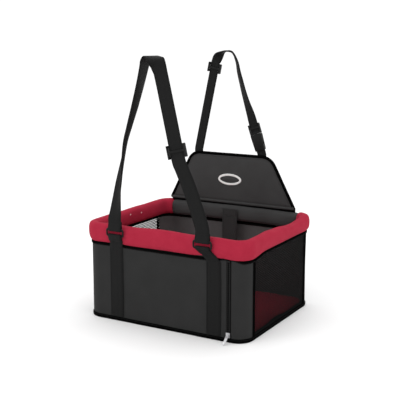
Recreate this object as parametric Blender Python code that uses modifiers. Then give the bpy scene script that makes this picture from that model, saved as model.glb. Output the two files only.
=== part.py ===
"""Dog car seat: an open fabric box with a padded rim on a tube frame, see-through side windows,
a fold-down backrest flap, a front hanging strap, a rear strap with a buckle, and a tether.

Metres, Z up. X runs across the seat, -Y is the front. The origin is the middle of the underside.
"""

import math

import bmesh
import bpy
from mathutils import Matrix, Vector

# Body
body_width = 0.420
body_depth = 0.350
body_height = 0.230
corner_radius = 0.034
corner_lead = 0.001
wall_thickness = 0.003
base_thickness = 0.002
board_thickness = 0.003
clearance = 0.0003
corner_steps = 5

# Padded rim and the tube frame inside it
rim_height = 0.042
rim_width = 0.030
rim_overhang = 0.007
rim_roundness = 2.6
rim_pinch_share = 0.06
rim_pinch_reach = 0.030
rim_station_gap = 0.020
tube_diameter = 0.016
tube_bore = 0.0125
elbow_diameter = 0.021
elbow_socket = 0.014
tube_insertion = 0.012
ring_points = 12

# Mat
mat_thickness = 0.013
mat_inset = 0.005
mat_edge_draw = 0.006
mat_crown = 0.003
mat_crown_inset = 0.070

# Bindings
binding_thickness = 0.0012
bottom_binding_height = 0.009
bottom_binding_rise = 0.0005
top_binding_height = 0.005
inner_binding_height = 0.008
window_binding_width = 0.010

# Net windows
net_thickness = 0.0015
net_border = 0.006
net_bar = 0.0018
net_columns = 12
net_rows = 8

# Webbing
webbing_thickness = 0.0015
front_webbing_width = 0.036
rear_webbing_width = 0.025
tether_width = 0.043

# Bands sewn down the front panel, and the rings that they hold
band_left_margin = 0.0515
band_zipper_gap = 0.013
band_end_gap = 0.001
ring_left_lean = 0.0045
ring_right_lean = 0.022
ring_bar_diameter = 0.004
ring_rise = 0.004
ring_bar_spacing = 0.016
ring_corner_radius = 0.004
webbing_loop_steps = 6
band_tail = 0.013
band_lean_start = 0.012

# Front strap
front_strap_rise = 0.390
front_apex_shift = 0.013
front_crown_depth = 0.008
front_crown_facing = 66
strap_tail = 0.018

# Zipper at the front right corner
zipper_zone = 0.012
tape_thickness = 0.0012
chain_gap = 0.0012
tooth_reach = 0.0024
tooth_root = 0.0010
tooth_height = 0.0018
tooth_pitch = 0.0044
stop_height = 0.003
zipper_end_margin = 0.004
slider_height = 0.011
slider_width = 0.0092
slider_plate = 0.0012
slider_post = 0.0006
slider_start = 0.0175
lug_width = 0.0030
lug_depth = 0.0030
lug_height = 0.0044
lug_bore = 0.0020
pull_length = 0.024
pull_width = 0.0064
pull_bar = 0.0011
pull_window = 0.0050

# Backrest flap
backrest_height = 0.132
backrest_side_margin = 0.026
backrest_taper = 0.070
backrest_shoulder_radius = 0.032
backrest_foot_radius = 0.014
backrest_binding_diameter = 0.008
backrest_thickness = 0.006
badge_width = 0.066
badge_height = 0.029
badge_rise = 0.060
badge_shift = 0.010
badge_thickness = 0.0012
badge_border_width = 0.0035
badge_points = 24

# Rear strap
rear_strap_rise = 0.2525
rear_left_margin = 0.009
rear_right_margin = 0.0385
rear_apex_shift = 0.00725
rear_anchor_length = 0.020
rear_hinge_lift = 0.0010

# Three-bar sliders
slide_bar = 0.005
slide_rail = 0.006
slide_depth = 0.004
front_slide_length = 0.030
front_slide_play = 0.0015
rear_slide_length = 0.024
front_slide_share = 0.487
rear_slide_share = 0.937

# Side release buckle
buckle_lean = math.radians(18.3)
housing_length = 0.042
housing_width = 0.030
housing_thickness = 0.0095
housing_wall = 0.0020
housing_side = 0.0024
housing_floor = 0.011
window_margin = 0.0037
window_gap = 0.0009
stub_slot_height = 0.004
tongue_length = 0.026
tongue_width = 0.029
tongue_thickness = 0.006
guide_width = 0.005
guide_length = 0.022
prong_width = 0.0032
prong_length = 0.024
prong_offset = 0.0088
prong_head_reach = 0.0038
prong_head_length = 0.0114
prong_thickness = 0.0040
prong_pin_height = 0.0030
buckle_stub_length = 0.0097

# Tether with its swivel and snap hook
tether_shift = 0.003
tether_drop = 0.0835
tether_anchor_height = 0.018
tether_anchor_rise = 0.0015
eye_bar_diameter = 0.0035
eye_bar_spacing = 0.011
stem_diameter = 0.005
stem_length = 0.010
stem_head_diameter = 0.0074
stem_head_height = 0.0020
turning_gap = 0.0005
barrel_diameter = 0.014
barrel_height = 0.012
barrel_roof = 0.0035
hook_bar_diameter = 0.005
hook_half_width = 0.0090
hook_length = 0.030
hook_tip_rise = 0.003
gate_diameter = 0.004

# Values that follow from the sizes above
half_width = body_width / 2
half_depth = body_depth / 2
wall_foot = base_thickness + clearance
rim_centre_height = body_height - rim_height / 2
rim_inset = rim_width / 2 - rim_overhang
bar_radius = ring_bar_diameter / 2
loop_radius = (bar_radius + clearance + webbing_thickness / 2) / math.cos(
    math.pi / webbing_loop_steps / 2
)
ring_offset = rim_overhang + 2 * clearance + webbing_thickness / 2 + loop_radius
ring_centre_height = rim_centre_height + ring_rise
ring_low = ring_centre_height - ring_bar_spacing / 2
ring_high = ring_centre_height + ring_bar_spacing / 2
seam_x = half_width - corner_radius - corner_lead
seam_y = half_depth - corner_radius - corner_lead
zipper_x = seam_x - zipper_zone / 2
band_left_x = band_left_margin - seam_x
band_right_x = seam_x - zipper_zone - band_zipper_gap - front_webbing_width / 2
ring_left_x = band_left_x + ring_left_lean
ring_right_x = band_right_x - ring_right_lean
front_apex_x = (ring_left_x + ring_right_x) / 2 - front_apex_shift
fold_y = half_depth - rim_inset
fold_height = body_height + clearance + backrest_binding_diameter / 2
backrest_top = fold_height - backrest_binding_diameter / 2 + backrest_height
rear_strap_y = fold_y + backrest_binding_diameter / 2 + clearance + webbing_thickness / 2
rear_strap_foot = backrest_top + rear_hinge_lift
backrest_half_low = half_width - backrest_side_margin
backrest_half_high = backrest_half_low - backrest_taper
rear_left_x = rear_left_margin - backrest_half_high
rear_right_x = backrest_half_high - rear_right_margin
rear_apex_x = (rear_left_x + rear_right_x) / 2 - rear_apex_shift
housing_foot_height = rear_strap_foot + buckle_stub_length
tether_x = -tether_shift

UP = Vector((0, 0, 1))
FRONT_LEFT, FRONT_RIGHT, BACK_RIGHT, BACK_LEFT = range(4)
CORNER_SIGNS = ((-1, -1), (1, -1), (1, 1), (-1, 1))

parts = None
cutters = None
finishes = {}


# Scene, materials and objects

def clear_scene():
    for obj in list(bpy.data.objects):
        bpy.data.objects.remove(obj, do_unlink=True)


def make_collection(name):
    made = bpy.data.collections.new(name)
    bpy.context.scene.collection.children.link(made)
    return made


def make_finish(name, color, roughness, metallic=0.0):
    made = bpy.data.materials.new(name)
    made.use_nodes = True
    shader = made.node_tree.nodes["Principled BSDF"]
    shader.inputs["Base Color"].default_value = (*color, 1.0)
    shader.inputs["Roughness"].default_value = roughness
    shader.inputs["Metallic"].default_value = metallic
    finishes[name] = made


def make_finishes():
    make_finish("black_oxford_cloth", (0.035, 0.035, 0.036), 0.85)
    make_finish("black_lining_cloth", (0.028, 0.028, 0.029), 0.88)
    make_finish("black_net", (0.015, 0.015, 0.015), 0.80)
    make_finish("red_plush", (0.42, 0.035, 0.060), 0.90)
    make_finish("black_binding", (0.006, 0.006, 0.006), 0.75)
    make_finish("black_webbing", (0.018, 0.018, 0.018), 0.70)
    make_finish("black_plastic", (0.012, 0.012, 0.012), 0.45)
    make_finish("white_plastic_tube", (0.80, 0.80, 0.78), 0.40)
    make_finish("grey_board", (0.25, 0.25, 0.24), 0.80)
    make_finish("zinc_zipper", (0.62, 0.62, 0.63), 0.30, 1.0)
    make_finish("steel_hook", (0.55, 0.55, 0.56), 0.25, 1.0)
    make_finish("white_badge", (0.75, 0.75, 0.75), 0.55)


def add_mesh(name, bm, finish, collection=None):
    """Makes an object of a bmesh, with its faces turned outwards."""
    bmesh.ops.recalc_face_normals(bm, faces=bm.faces[:])
    mesh = bpy.data.meshes.new(name)
    bm.to_mesh(mesh)
    bm.free()
    return add_object(name, mesh, finish, collection)


def add_object(name, data, finish, collection=None):
    obj = bpy.data.objects.new(name, data)
    if finish:
        data.materials.append(finishes[finish])
    (collection or parts).objects.link(obj)
    return obj


def add_cutter(name, bm):
    cutter = add_mesh(name, bm, None, cutters)
    cutter.hide_render = True
    cutter.display_type = "WIRE"
    return cutter


def boolean(obj, other, operation):
    modifier = obj.modifiers.new(other.name, "BOOLEAN")
    modifier.operation = operation
    modifier.object = other


def solidify(obj, thickness, offset):
    modifier = obj.modifiers.new("cloth", "SOLIDIFY")
    modifier.thickness = thickness
    modifier.offset = offset
    modifier.use_even_offset = True


def round_edges(obj, width):
    modifier = obj.modifiers.new("soft edges", "BEVEL")
    modifier.width = width
    modifier.segments = 1
    modifier.limit_method = "ANGLE"


# Outlines and routes

def arc(x, y, radius, start, end, steps):
    """Points from one angle in degrees to another, each with its outward direction."""
    made = []
    for i in range(steps + 1):
        angle = math.radians(start + (end - start) * i / steps)
        nx, ny = math.cos(angle), math.sin(angle)
        made.append((x + radius * nx, y + radius * ny, nx, ny))
    return made


def wall_corner(corner, inset):
    """A corner of the body's outline, moved inwards by inset, counter-clockwise from above."""
    sx, sy = CORNER_SIGNS[corner]
    x = sx * (half_width - corner_radius)
    y = sy * (half_depth - corner_radius)
    start = 180 + 90 * corner
    return arc(x, y, corner_radius - inset, start, start + 90, corner_steps)


def with_leads(route, lead):
    """The route of a corner, with a short straight lead at each end."""
    first, last = route[0], route[-1]
    before = (first[0] + lead * first[3], first[1] - lead * first[2], *first[2:])
    after = (last[0] - lead * last[3], last[1] + lead * last[2], *last[2:])
    return [before] + route + [after]


def wall_loop(inset):
    return [point for corner in range(4) for point in wall_corner(corner, inset)]


def fillet(corners, steps):
    """A closed outline through corners given as (x, y, radius), with each corner rounded."""
    made = []
    for i, (x, y, radius) in enumerate(corners):
        here = Vector((x, y))
        before = Vector(corners[i - 1][:2])
        after = Vector(corners[(i + 1) % len(corners)][:2])
        into = (before - here).normalized()
        out = (after - here).normalized()
        half = into.angle(out) / 2
        centre = here + (into + out).normalized() * radius / math.sin(half)
        first = here + into * radius / math.tan(half) - centre
        last = here + out * radius / math.tan(half) - centre
        turn = first.angle_signed(last)
        for k in range(steps + 1):
            angle = -turn * k / steps
            made.append(centre + Matrix.Rotation(angle, 2) @ first)
    return made


def moved_inwards(outline, distance):
    """A counter-clockwise closed outline, moved inwards along its corners' bisectors."""
    made = []
    for i, here in enumerate(outline):
        into = (here - outline[i - 1]).normalized()
        out = (outline[(i + 1) % len(outline)] - here).normalized()
        left = Vector((-into.y - out.y, into.x + out.x)).normalized()
        made.append(here + left * distance / math.cos(into.angle(out) / 2))
    return made


def smooth_route(stations, steps):
    """Catmull-Rom samples through tuples of numbers, so that collinear stations stay straight."""
    made = []
    for i in range(len(stations) - 1):
        p0 = stations[max(i - 1, 0)]
        p1, p2 = stations[i], stations[i + 1]
        p3 = stations[min(i + 2, len(stations) - 1)]
        for k in range(steps):
            t = k / steps
            made.append(tuple(
                b + t * (c - a) / 2 + t * t * (2 * a - 5 * b + 4 * c - d) / 2
                + t * t * t * (3 * b - a - 3 * c + d) / 2
                for a, b, c, d in zip(p0, p1, p2, p3)
            ))
    made.append(tuple(stations[-1]))
    return made


# Solids

def prism_mesh(outline, low, high):
    """A flat outline of (x, y) between two heights."""
    bm = bmesh.new()
    feet = [bm.verts.new((point[0], point[1], low)) for point in outline]
    heads = [bm.verts.new((point[0], point[1], high)) for point in outline]
    bm.faces.new(feet[::-1])
    bm.faces.new(heads)
    for i in range(len(feet)):
        k = (i + 1) % len(feet)
        bm.faces.new((feet[i], feet[k], heads[k], heads[i]))
    return bm


def box_mesh(low, high):
    """A box between two opposite corners."""
    bm = bmesh.new()
    bmesh.ops.create_cube(bm, size=1)
    low, high = Vector(low), Vector(high)
    size = high - low
    bmesh.ops.scale(bm, vec=size, verts=bm.verts)
    bmesh.ops.translate(bm, vec=(low + high) / 2, verts=bm.verts)
    return bm


def turned_mesh(radius, low, high):
    bm = bmesh.new()
    bmesh.ops.create_cone(
        bm, cap_ends=True, segments=ring_points, radius1=radius, radius2=radius, depth=high - low
    )
    bmesh.ops.translate(bm, vec=(0, 0, (low + high) / 2), verts=bm.verts)
    return bm


def standing_sheet(name, route, low, high, thickness, offset, finish, closed=False):
    """Cloth standing on a route that runs counter-clockwise, thickened in or out."""
    bm = bmesh.new()
    feet = [bm.verts.new((point[0], point[1], low)) for point in route]
    heads = [bm.verts.new((point[0], point[1], high)) for point in route]
    spans = len(route) if closed else len(route) - 1
    for i in range(spans):
        k = (i + 1) % len(route)
        bm.faces.new((feet[i], feet[k], heads[k], heads[i]))
    mesh = bpy.data.meshes.new(name)
    bm.to_mesh(mesh)
    bm.free()
    obj = add_object(name, mesh, finish)
    solidify(obj, thickness, offset)
    return obj


def sleeve(name, route, sections, bore, finish):
    """A hollow sweep along a level route: sections holds the outer outline at each station."""
    bm = bmesh.new()
    rows = []
    for (x, y, nx, ny), outer in zip(route, sections):
        here = Vector((x, y, rim_centre_height))
        out = Vector((nx, ny, 0))
        rows.append([
            [bm.verts.new(here + out * a + UP * b) for a, b in outline]
            for outline in (outer, bore)
        ])
    count = len(bore)
    for before, after in zip(rows, rows[1:]):
        for skin in (0, 1):
            for i in range(count):
                k = (i + 1) % count
                bm.faces.new((before[skin][i], before[skin][k], after[skin][k], after[skin][i]))
    for row in (rows[0], rows[-1]):
        for i in range(count):
            k = (i + 1) % count
            bm.faces.new((row[0][i], row[0][k], row[1][k], row[1][i]))
    obj = add_mesh(name, bm, finish)
    obj.data.shade_smooth()
    obj.data.set_sharp_from_angle(angle=math.radians(50))
    return obj


def rod(name, points, diameter, finish, resolution=1, closed=False):
    """A round bar along a polyline."""
    curve = bpy.data.curves.new(name, "CURVE")
    curve.dimensions = "3D"
    curve.bevel_depth = diameter / 2
    curve.bevel_resolution = resolution
    curve.use_fill_caps = not closed
    spline = curve.splines.new("POLY")
    spline.points.add(len(points) - 1)
    for point, place in zip(spline.points, points):
        point.co = (*place, 1)
    spline.use_cyclic_u = closed
    return add_object(name, curve, finish)


def as_mesh(obj):
    """The curve object's evaluated shape as a mesh object of the same name and place."""
    bpy.context.view_layer.update()
    evaluated = obj.evaluated_get(bpy.context.evaluated_depsgraph_get())
    mesh = bpy.data.meshes.new_from_object(evaluated)
    bm = bmesh.new()
    bm.from_mesh(mesh)
    bmesh.ops.remove_doubles(bm, verts=bm.verts, dist=clearance / 10)
    bmesh.ops.recalc_face_normals(bm, faces=bm.faces[:])
    bm.to_mesh(mesh)
    bm.free()
    name, place, home = obj.name, obj.matrix_world.copy(), obj.users_collection[0]
    bpy.data.objects.remove(obj)
    made = bpy.data.objects.new(name, mesh)
    made.matrix_world = place
    home.objects.link(made)
    return made


def fused(name, first, others, finish, place=None):
    """One solid from several overlapping ones."""
    obj = add_mesh(name, first, finish)
    for i, other in enumerate(others):
        boolean(obj, add_cutter(f"{name}_piece_{i}", other), "UNION")
    move_with_helpers(obj, place)
    return obj


def move_with_helpers(obj, place):
    """Puts an object and the helpers of its Booleans at a place."""
    if place is None:
        return
    obj.matrix_world = place
    for modifier in obj.modifiers:
        if modifier.type == "BOOLEAN":
            modifier.object.matrix_world = place


def ribbon(name, route, width, finish, square=True):
    """Webbing through (x, y, z, facing) stations: facing turns its width from +X towards +Y.

    Its width stays square to its length, or else it is sheared where it leans.
    """
    bm = bmesh.new()
    places = [Vector(station[:3]) for station in route]
    rows = []
    for i, (here, station) in enumerate(zip(places, route)):
        ahead = places[min(i + 1, len(places) - 1)] - places[max(i - 1, 0)]
        along = ahead.normalized()
        facing = math.radians(station[3])
        side = Vector((math.cos(facing), math.sin(facing), 0))
        if square:
            side = (side - along * side.dot(along)).normalized()
        side *= width / 2
        rows.append((bm.verts.new(here - side), bm.verts.new(here + side)))
    for before, after in zip(rows, rows[1:]):
        bm.faces.new((before[0], before[1], after[1], after[0]))
    mesh = bpy.data.meshes.new(name)
    bm.to_mesh(mesh)
    bm.free()
    obj = add_object(name, mesh, finish)
    solidify(obj, webbing_thickness, 0)
    return obj


def leg_frame(foot, lean):
    """Local Z runs up a leg that leans by an angle towards -X, local Y to the back."""
    return Matrix.Translation(foot) @ Matrix.Rotation(-lean, 4, "Y")


def super_outline(half_a, half_b, power):
    made = []
    for i in range(ring_points):
        angle = 2 * math.pi * i / ring_points
        c, s = math.cos(angle), math.sin(angle)
        made.append((
            math.copysign(half_a * abs(c) ** (2 / power), c),
            math.copysign(half_b * abs(s) ** (2 / power), s),
        ))
    return made


def rim_side(height):
    """How far the rim's skin stands outwards of the wall's outer face at a height."""
    share = min(abs(height - rim_centre_height) / (rim_height / 2), 1)
    return rim_width / 2 * (1 - share ** rim_roundness) ** (1 / rim_roundness) - rim_inset


def rim_underside(outwards):
    """The height of the rim's underside at a distance outwards of the wall's outer face."""
    share = min(abs(outwards + rim_inset) / (rim_width / 2), 1)
    return rim_centre_height - rim_height / 2 * (1 - share ** rim_roundness) ** (1 / rim_roundness)


wall_head = rim_underside(-wall_thickness) - clearance
outer_binding_head = rim_underside(binding_thickness + clearance) - clearance
outer_binding_head = min(outer_binding_head, wall_head)


# Base, walls and windows

def build_base():
    add_mesh("base_panel", prism_mesh(wall_loop(0), 0, base_thickness), "black_oxford_cloth")
    inset = wall_thickness + clearance
    low = base_thickness + clearance
    add_mesh("base_board", prism_mesh(wall_loop(inset), low, low + board_thickness), "grey_board")


def build_mat():
    """A cushion with a crown and drawn-in sides, from a coarse cage."""
    low = wall_foot + board_thickness + clearance
    inset = wall_thickness + clearance + mat_inset
    crown = inset + mat_crown_inset
    rings = (
        (inset + mat_edge_draw, 0),
        (inset, mat_thickness / 3),
        (inset, mat_thickness * 2 / 3),
        (inset + mat_edge_draw, mat_thickness - mat_crown),
    )
    bm = bmesh.new()
    rows = []
    for ring_inset, rise in rings:
        loop = wall_loop(min(ring_inset, corner_radius - clearance))
        rows.append([bm.verts.new((point[0], point[1], low + rise)) for point in loop])
    shrink_x = (half_width - crown) / half_width
    shrink_y = (half_depth - crown) / half_depth
    rows.append([
        bm.verts.new((point[0] * shrink_x, point[1] * shrink_y, low + mat_thickness))
        for point in wall_loop(0)
    ])
    count = len(rows[0])
    for before, after in zip(rows, rows[1:]):
        for i in range(count):
            k = (i + 1) % count
            bm.faces.new((before[i], before[k], after[k], after[i]))
    bm.faces.new(rows[0][::-1])
    bm.faces.new(rows[-1])
    mat = add_mesh("floor_mat", bm, "red_plush")
    soft = mat.modifiers.new("soft", "SUBSURF")
    soft.levels = 1
    soft.render_levels = 1
    mat.data.shade_smooth()


def build_walls():
    left = -seam_x + clearance
    front = [(left, -half_depth), (zipper_x - zipper_zone / 2, -half_depth)]
    back = [(-left, half_depth), (left, half_depth)]
    for name, route in (("front_panel", front), ("back_panel", back)):
        standing_sheet(name, route, wall_foot, wall_head, wall_thickness, -1, "black_oxford_cloth")
    names = ("corner_front_left", "corner_front_right", "corner_back_right", "corner_back_left")
    for corner, name in enumerate(names):
        route = with_leads(wall_corner(corner, 0), corner_lead)
        standing_sheet(name, route, wall_foot, wall_head, wall_thickness, -1, "black_oxford_cloth")


def net_lines(length, border, count):
    """Places of the net's lines: a border at each end and count equal gaps between them."""
    step = (length - 2 * border) / count
    return [0] + [border + step * i for i in range(count + 1)] + [length]


def build_window(side, name):
    """A flat net with a plain border, set flush in a side wall."""
    length = 2 * (seam_y - clearance)
    columns = net_lines(length, net_border, net_columns)
    rows = net_lines(wall_head - wall_foot, net_border, net_rows)
    bm = bmesh.new()
    grid = [
        [bm.verts.new((side * half_width, y - length / 2, wall_foot + z)) for z in rows]
        for y in columns
    ]
    cells = []
    for i in range(len(columns) - 1):
        for k in range(len(rows) - 1):
            ring = [grid[i][k], grid[i + 1][k], grid[i + 1][k + 1], grid[i][k + 1]]
            face = bm.faces.new(ring if side > 0 else ring[::-1])
            if 0 < i < len(columns) - 2 and 0 < k < len(rows) - 2:
                cells.append(face)
    bm.normal_update()
    bmesh.ops.inset_individual(bm, faces=cells, thickness=net_bar / 2, use_even_offset=True)
    bmesh.ops.delete(bm, geom=cells, context="FACES")
    mesh = bpy.data.meshes.new(name)
    bm.to_mesh(mesh)
    bm.free()
    solidify(add_object(name, mesh, "black_net"), net_thickness, -1)


def build_window_bindings():
    x = half_width + clearance
    low = bottom_binding_rise + bottom_binding_height + clearance
    high = outer_binding_head - top_binding_height - clearance
    end = half_depth - corner_radius
    for side, side_name in ((-1, "left"), (1, "right")):
        for sy, end_name in ((-1, "front"), (1, "back")):
            near, far = sorted((sy * end, sy * (end - window_binding_width)))
            route = [(side * x, near), (side * x, far)]
            name = f"window_binding_{side_name}_{end_name}"
            standing_sheet(
                name, route if side > 0 else route[::-1], low, high,
                binding_thickness, 1, "black_binding",
            )


def build_bindings():
    low = bottom_binding_rise
    standing_sheet(
        "bottom_binding", wall_loop(-clearance), low, low + bottom_binding_height,
        binding_thickness, 1, "black_binding", closed=True,
    )
    standing_sheet(
        "top_binding", wall_loop(-clearance), outer_binding_head - top_binding_height,
        outer_binding_head, binding_thickness, 1, "black_binding", closed=True,
    )
    inner = wall_thickness + clearance
    standing_sheet(
        "inner_binding", wall_loop(inner), wall_head - clearance - inner_binding_height,
        wall_head - clearance, binding_thickness, -1, "black_binding", closed=True,
    )


# Padded rim and its tube frame

def rim_corner(corner):
    return wall_corner(corner, rim_inset)


def straight_stations(start, end):
    """Evenly spaced stations between the ends of two corners, ends left out."""
    reach = math.hypot(end[0] - start[0], end[1] - start[1])
    count = max(2, round(reach / rim_station_gap))
    return [
        tuple(a + (b - a) * i / count for a, b in zip(start, end))
        for i in range(1, count)
    ]


def rim_sections(route, pinch_places):
    """The rim's outline at each station, drawn in where webbing crosses it and at corners."""
    made = []
    for x, y, nx, ny in route:
        near = min(
            [math.hypot(x - px, y - py) / rim_pinch_reach for px, py in pinch_places] + [1]
        )
        draw = rim_pinch_share * (1 - near) ** 2 * (1 + 2 * near)
        made.append(super_outline(
            rim_width / 2 * (1 - draw), rim_height / 2 * (1 - draw), rim_roundness
        ))
    return made


def build_rim():
    corners = [rim_corner(corner) for corner in (BACK_LEFT, FRONT_LEFT, FRONT_RIGHT, BACK_RIGHT)]
    corners[0] = [(x, y, nx, ny) for x, y, nx, ny in corners[0]]
    route = list(corners[0])
    for before, after in zip(corners, corners[1:]):
        route += straight_stations(before[-1], after[0]) + after
    bore = super_outline(elbow_diameter / 2 + clearance, elbow_diameter / 2 + clearance, 2)
    pinches = [(band_left_x, -half_depth), (band_right_x, -half_depth)]
    sleeve("rim_sleeve_red", route, rim_sections(route, pinches), bore, "red_plush")
    right, left = corners[-1][-1], corners[0][0]
    right = (right[0] - clearance, *right[1:])
    left = (left[0] + clearance, *left[1:])
    route = [right] + straight_stations(right, left) + [left]
    sleeve("rim_sleeve_black", route, rim_sections(route, []), bore, "black_lining_cloth")


def build_tube(name, ends, finish="white_plastic_tube"):
    outer = super_outline(tube_diameter / 2, tube_diameter / 2, 2)
    bore = super_outline(tube_bore / 2, tube_bore / 2, 2)
    sleeve(name, ends, [outer, outer], bore, finish)


def build_frame():
    """Four straight tubes, pushed into an elbow at each corner."""
    reach_x = half_width - corner_radius - elbow_socket + tube_insertion
    reach_y = half_depth - corner_radius - elbow_socket + tube_insertion
    side_x = half_width - rim_inset
    side_y = half_depth - rim_inset
    build_tube("front_tube", [(-reach_x, -side_y, 0, -1), (reach_x, -side_y, 0, -1)])
    build_tube("back_tube", [(reach_x, side_y, 0, 1), (-reach_x, side_y, 0, 1)])
    build_tube("left_tube", [(-side_x, reach_y, -1, 0), (-side_x, -reach_y, -1, 0)])
    build_tube("right_tube", [(side_x, -reach_y, 1, 0), (side_x, reach_y, 1, 0)])
    outer = super_outline(elbow_diameter / 2, elbow_diameter / 2, 2)
    bore = super_outline(tube_diameter / 2 + clearance, tube_diameter / 2 + clearance, 2)
    names = ("elbow_front_left", "elbow_front_right", "elbow_back_right", "elbow_back_left")
    for corner, name in enumerate(names):
        route = with_leads(rim_corner(corner), elbow_socket)
        sleeve(name, route, [outer] * len(route), bore, "black_plastic")


# Bands, rings and the front strap

# How far up from its bend to the ring's bar a band takes each station over the rim
band_rise_shares = (0.50, 0.65, 0.80, 0.94)


def band_route(band_x, ring_x):
    """Webbing up the front panel, out over the rim's lower edge and round a ring's lower bar."""
    flat = clearance + webbing_thickness / 2
    binding_low = outer_binding_head - top_binding_height
    bend = binding_low - band_lean_start / 2
    edge = flat + binding_thickness + clearance
    low = bottom_binding_rise + bottom_binding_height + band_end_gap
    near = ring_offset - loop_radius
    profile = [
        (flat, low), (flat, bend), (edge, binding_low - webbing_thickness / 2),
    ]
    for share in band_rise_shares:
        height = bend + (ring_low - bend) * share
        profile.append((min(near, max(edge, rim_side(height) + flat + 2 * clearance)), height))
    for out, height, _, _ in arc(ring_offset, ring_low, loop_radius, 180, 0, webbing_loop_steps):
        profile.append((out, height))
    tail = ring_low - band_tail
    profile.append((rim_side(tail) + flat + 2 * webbing_thickness + 2 * clearance, tail))
    route = []
    for out, height in profile:
        lean = min(max((height - bend) / (ring_low - bend), 0), 1)
        route.append((band_x + (ring_x - band_x) * lean, -half_depth - out, height, 0))
    return route


def build_ring(name, x):
    """A rectangular ring of round bar, standing in front of the rim."""
    half_x = front_webbing_width / 2 + ring_corner_radius + clearance
    half_z = ring_bar_spacing / 2
    corners = [
        (sx * half_x, sz * half_z, ring_corner_radius) for sx, sz in CORNER_SIGNS
    ]
    outline = fillet(corners, 3)
    places = [
        (x + point.x, -half_depth - ring_offset, ring_centre_height + point.y) for point in outline
    ]
    rod(name, places, ring_bar_diameter, "black_plastic", closed=True)


def ring_loop(x, facing, start_angle, end_angle):
    """Stations round a ring's upper bar, in the plane across it."""
    made = []
    for out, height, _, _ in arc(
        ring_offset, ring_high, loop_radius, start_angle, end_angle, webbing_loop_steps
    ):
        made.append((x, -half_depth - out, height, facing))
    return made


# Stations as shares of the strap's reach from apex to ring, of its rise and of its crown's depth,
# each with its facing
front_right_leg_shares = (
    (0.1576, 0.974, -1, 30), (0.202, 0.926, -0.5, 8), (0.232, 0.869, 0, 0),
    (0.384, 0.6575, 0, 0), (0.536, 0.446, 0, 0), (0.600, 0.395, 0, 0),
    (0.765, 0.279, 0, 0), (0.940, 0.130, 0, 0), (1.000, 0.066, 0, 0), (1.000, 0.035, 0, 0),
)
front_left_leg_shares = (
    (0.1685, 0.972, 1, 82), (0.228, 0.923, 1, 88), (0.374, 0.756, 0.75, 97),
    (0.550, 0.615, 0.5, 107), (0.7015, 0.487, 0.35, 117), (0.878, 0.236, 0.1, 148),
    (0.970, 0.100, 0, 172), (1.000, 0.060, 0, 180), (1.000, 0.035, 0, 180),
)
front_slider_run = (2, 4)
rear_left_leg_shares = (
    (1.000, 0.000, 0), (0.419, 0.890, 0), (0.307, 0.953, 35), (0.169, 0.989, 75),
)
rear_right_leg_shares = (
    (0.000, 1.000, 105), (0.144, 0.979, 120), (0.256, 0.890, 132), (0.328, 0.771, 140),
    (0.533, 0.526, 154),
)


def front_leg_point(ring_x, x_share, z_share, depth_share, facing):
    x = front_apex_x + (ring_x - front_apex_x) * x_share
    y = -half_depth - ring_offset + front_crown_depth * depth_share
    return (x, y, ring_high + front_strap_rise * z_share, facing)


def build_front_strap():
    """One length of webbing, looped round both rings, that turns over at its crown."""
    tail_y = -half_depth - ring_offset + 2 * webbing_thickness
    tail_z = ring_high + strap_tail
    stations = [
        front_leg_point(ring_right_x, *shares) for shares in reversed(front_right_leg_shares)
    ]
    stations.append(front_leg_point(ring_right_x, 0, 1, 0, front_crown_facing))
    stations += [front_leg_point(ring_left_x, *shares) for shares in front_left_leg_shares]
    left = [(x, y, z, 180) for x, y, z, _ in ring_loop(ring_left_x, 0, 360, 180)]
    route = [(ring_right_x, tail_y, tail_z, 0)] + ring_loop(ring_right_x, 0, 180, 360)
    route += smooth_route(stations, 4)
    route += left + [(ring_left_x, tail_y, tail_z, 180)]
    ribbon("front_strap", route, front_webbing_width, "black_webbing")


def build_slide(name, webbing_width, length, place):
    """A three-bar slider: its middle bar in front of straight webbing, the outer two behind."""
    half_x = webbing_width / 2 + front_slide_play
    near = webbing_thickness / 2 + clearance * 2
    outer = half_x + slide_rail
    half = length / 2
    rails = [
        box_mesh((half_x, -slide_depth, -half), (outer, slide_depth, half)),
        box_mesh((-outer, near, -half), (outer, slide_depth, -half + slide_bar)),
        box_mesh((-outer, near, half - slide_bar), (outer, slide_depth, half)),
        box_mesh((-outer, -slide_depth, -slide_bar / 2), (outer, -near, slide_bar / 2)),
    ]
    first = box_mesh((-outer, -slide_depth, -half), (-half_x, slide_depth, half))
    fused(name, first, rails, "black_plastic", place)


def leg_place(low, high, share):
    """A place up a straight leg between two stations, turned to the leg."""
    low, high = Vector(low[:3]), Vector(high[:3])
    lean = math.atan2(low.x - high.x, high.z - low.z)
    return leg_frame(low + (high - low) * share, lean)


def build_front_slide():
    high, low = (front_right_leg_shares[i] for i in front_slider_run)
    share = (front_slide_share - low[1]) / (high[1] - low[1])
    low = front_leg_point(ring_right_x, *low)
    high = front_leg_point(ring_right_x, *high)
    place = leg_place(low, high, share)
    build_slide("front_slider", front_webbing_width, front_slide_length, place)


# Zipper

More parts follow.
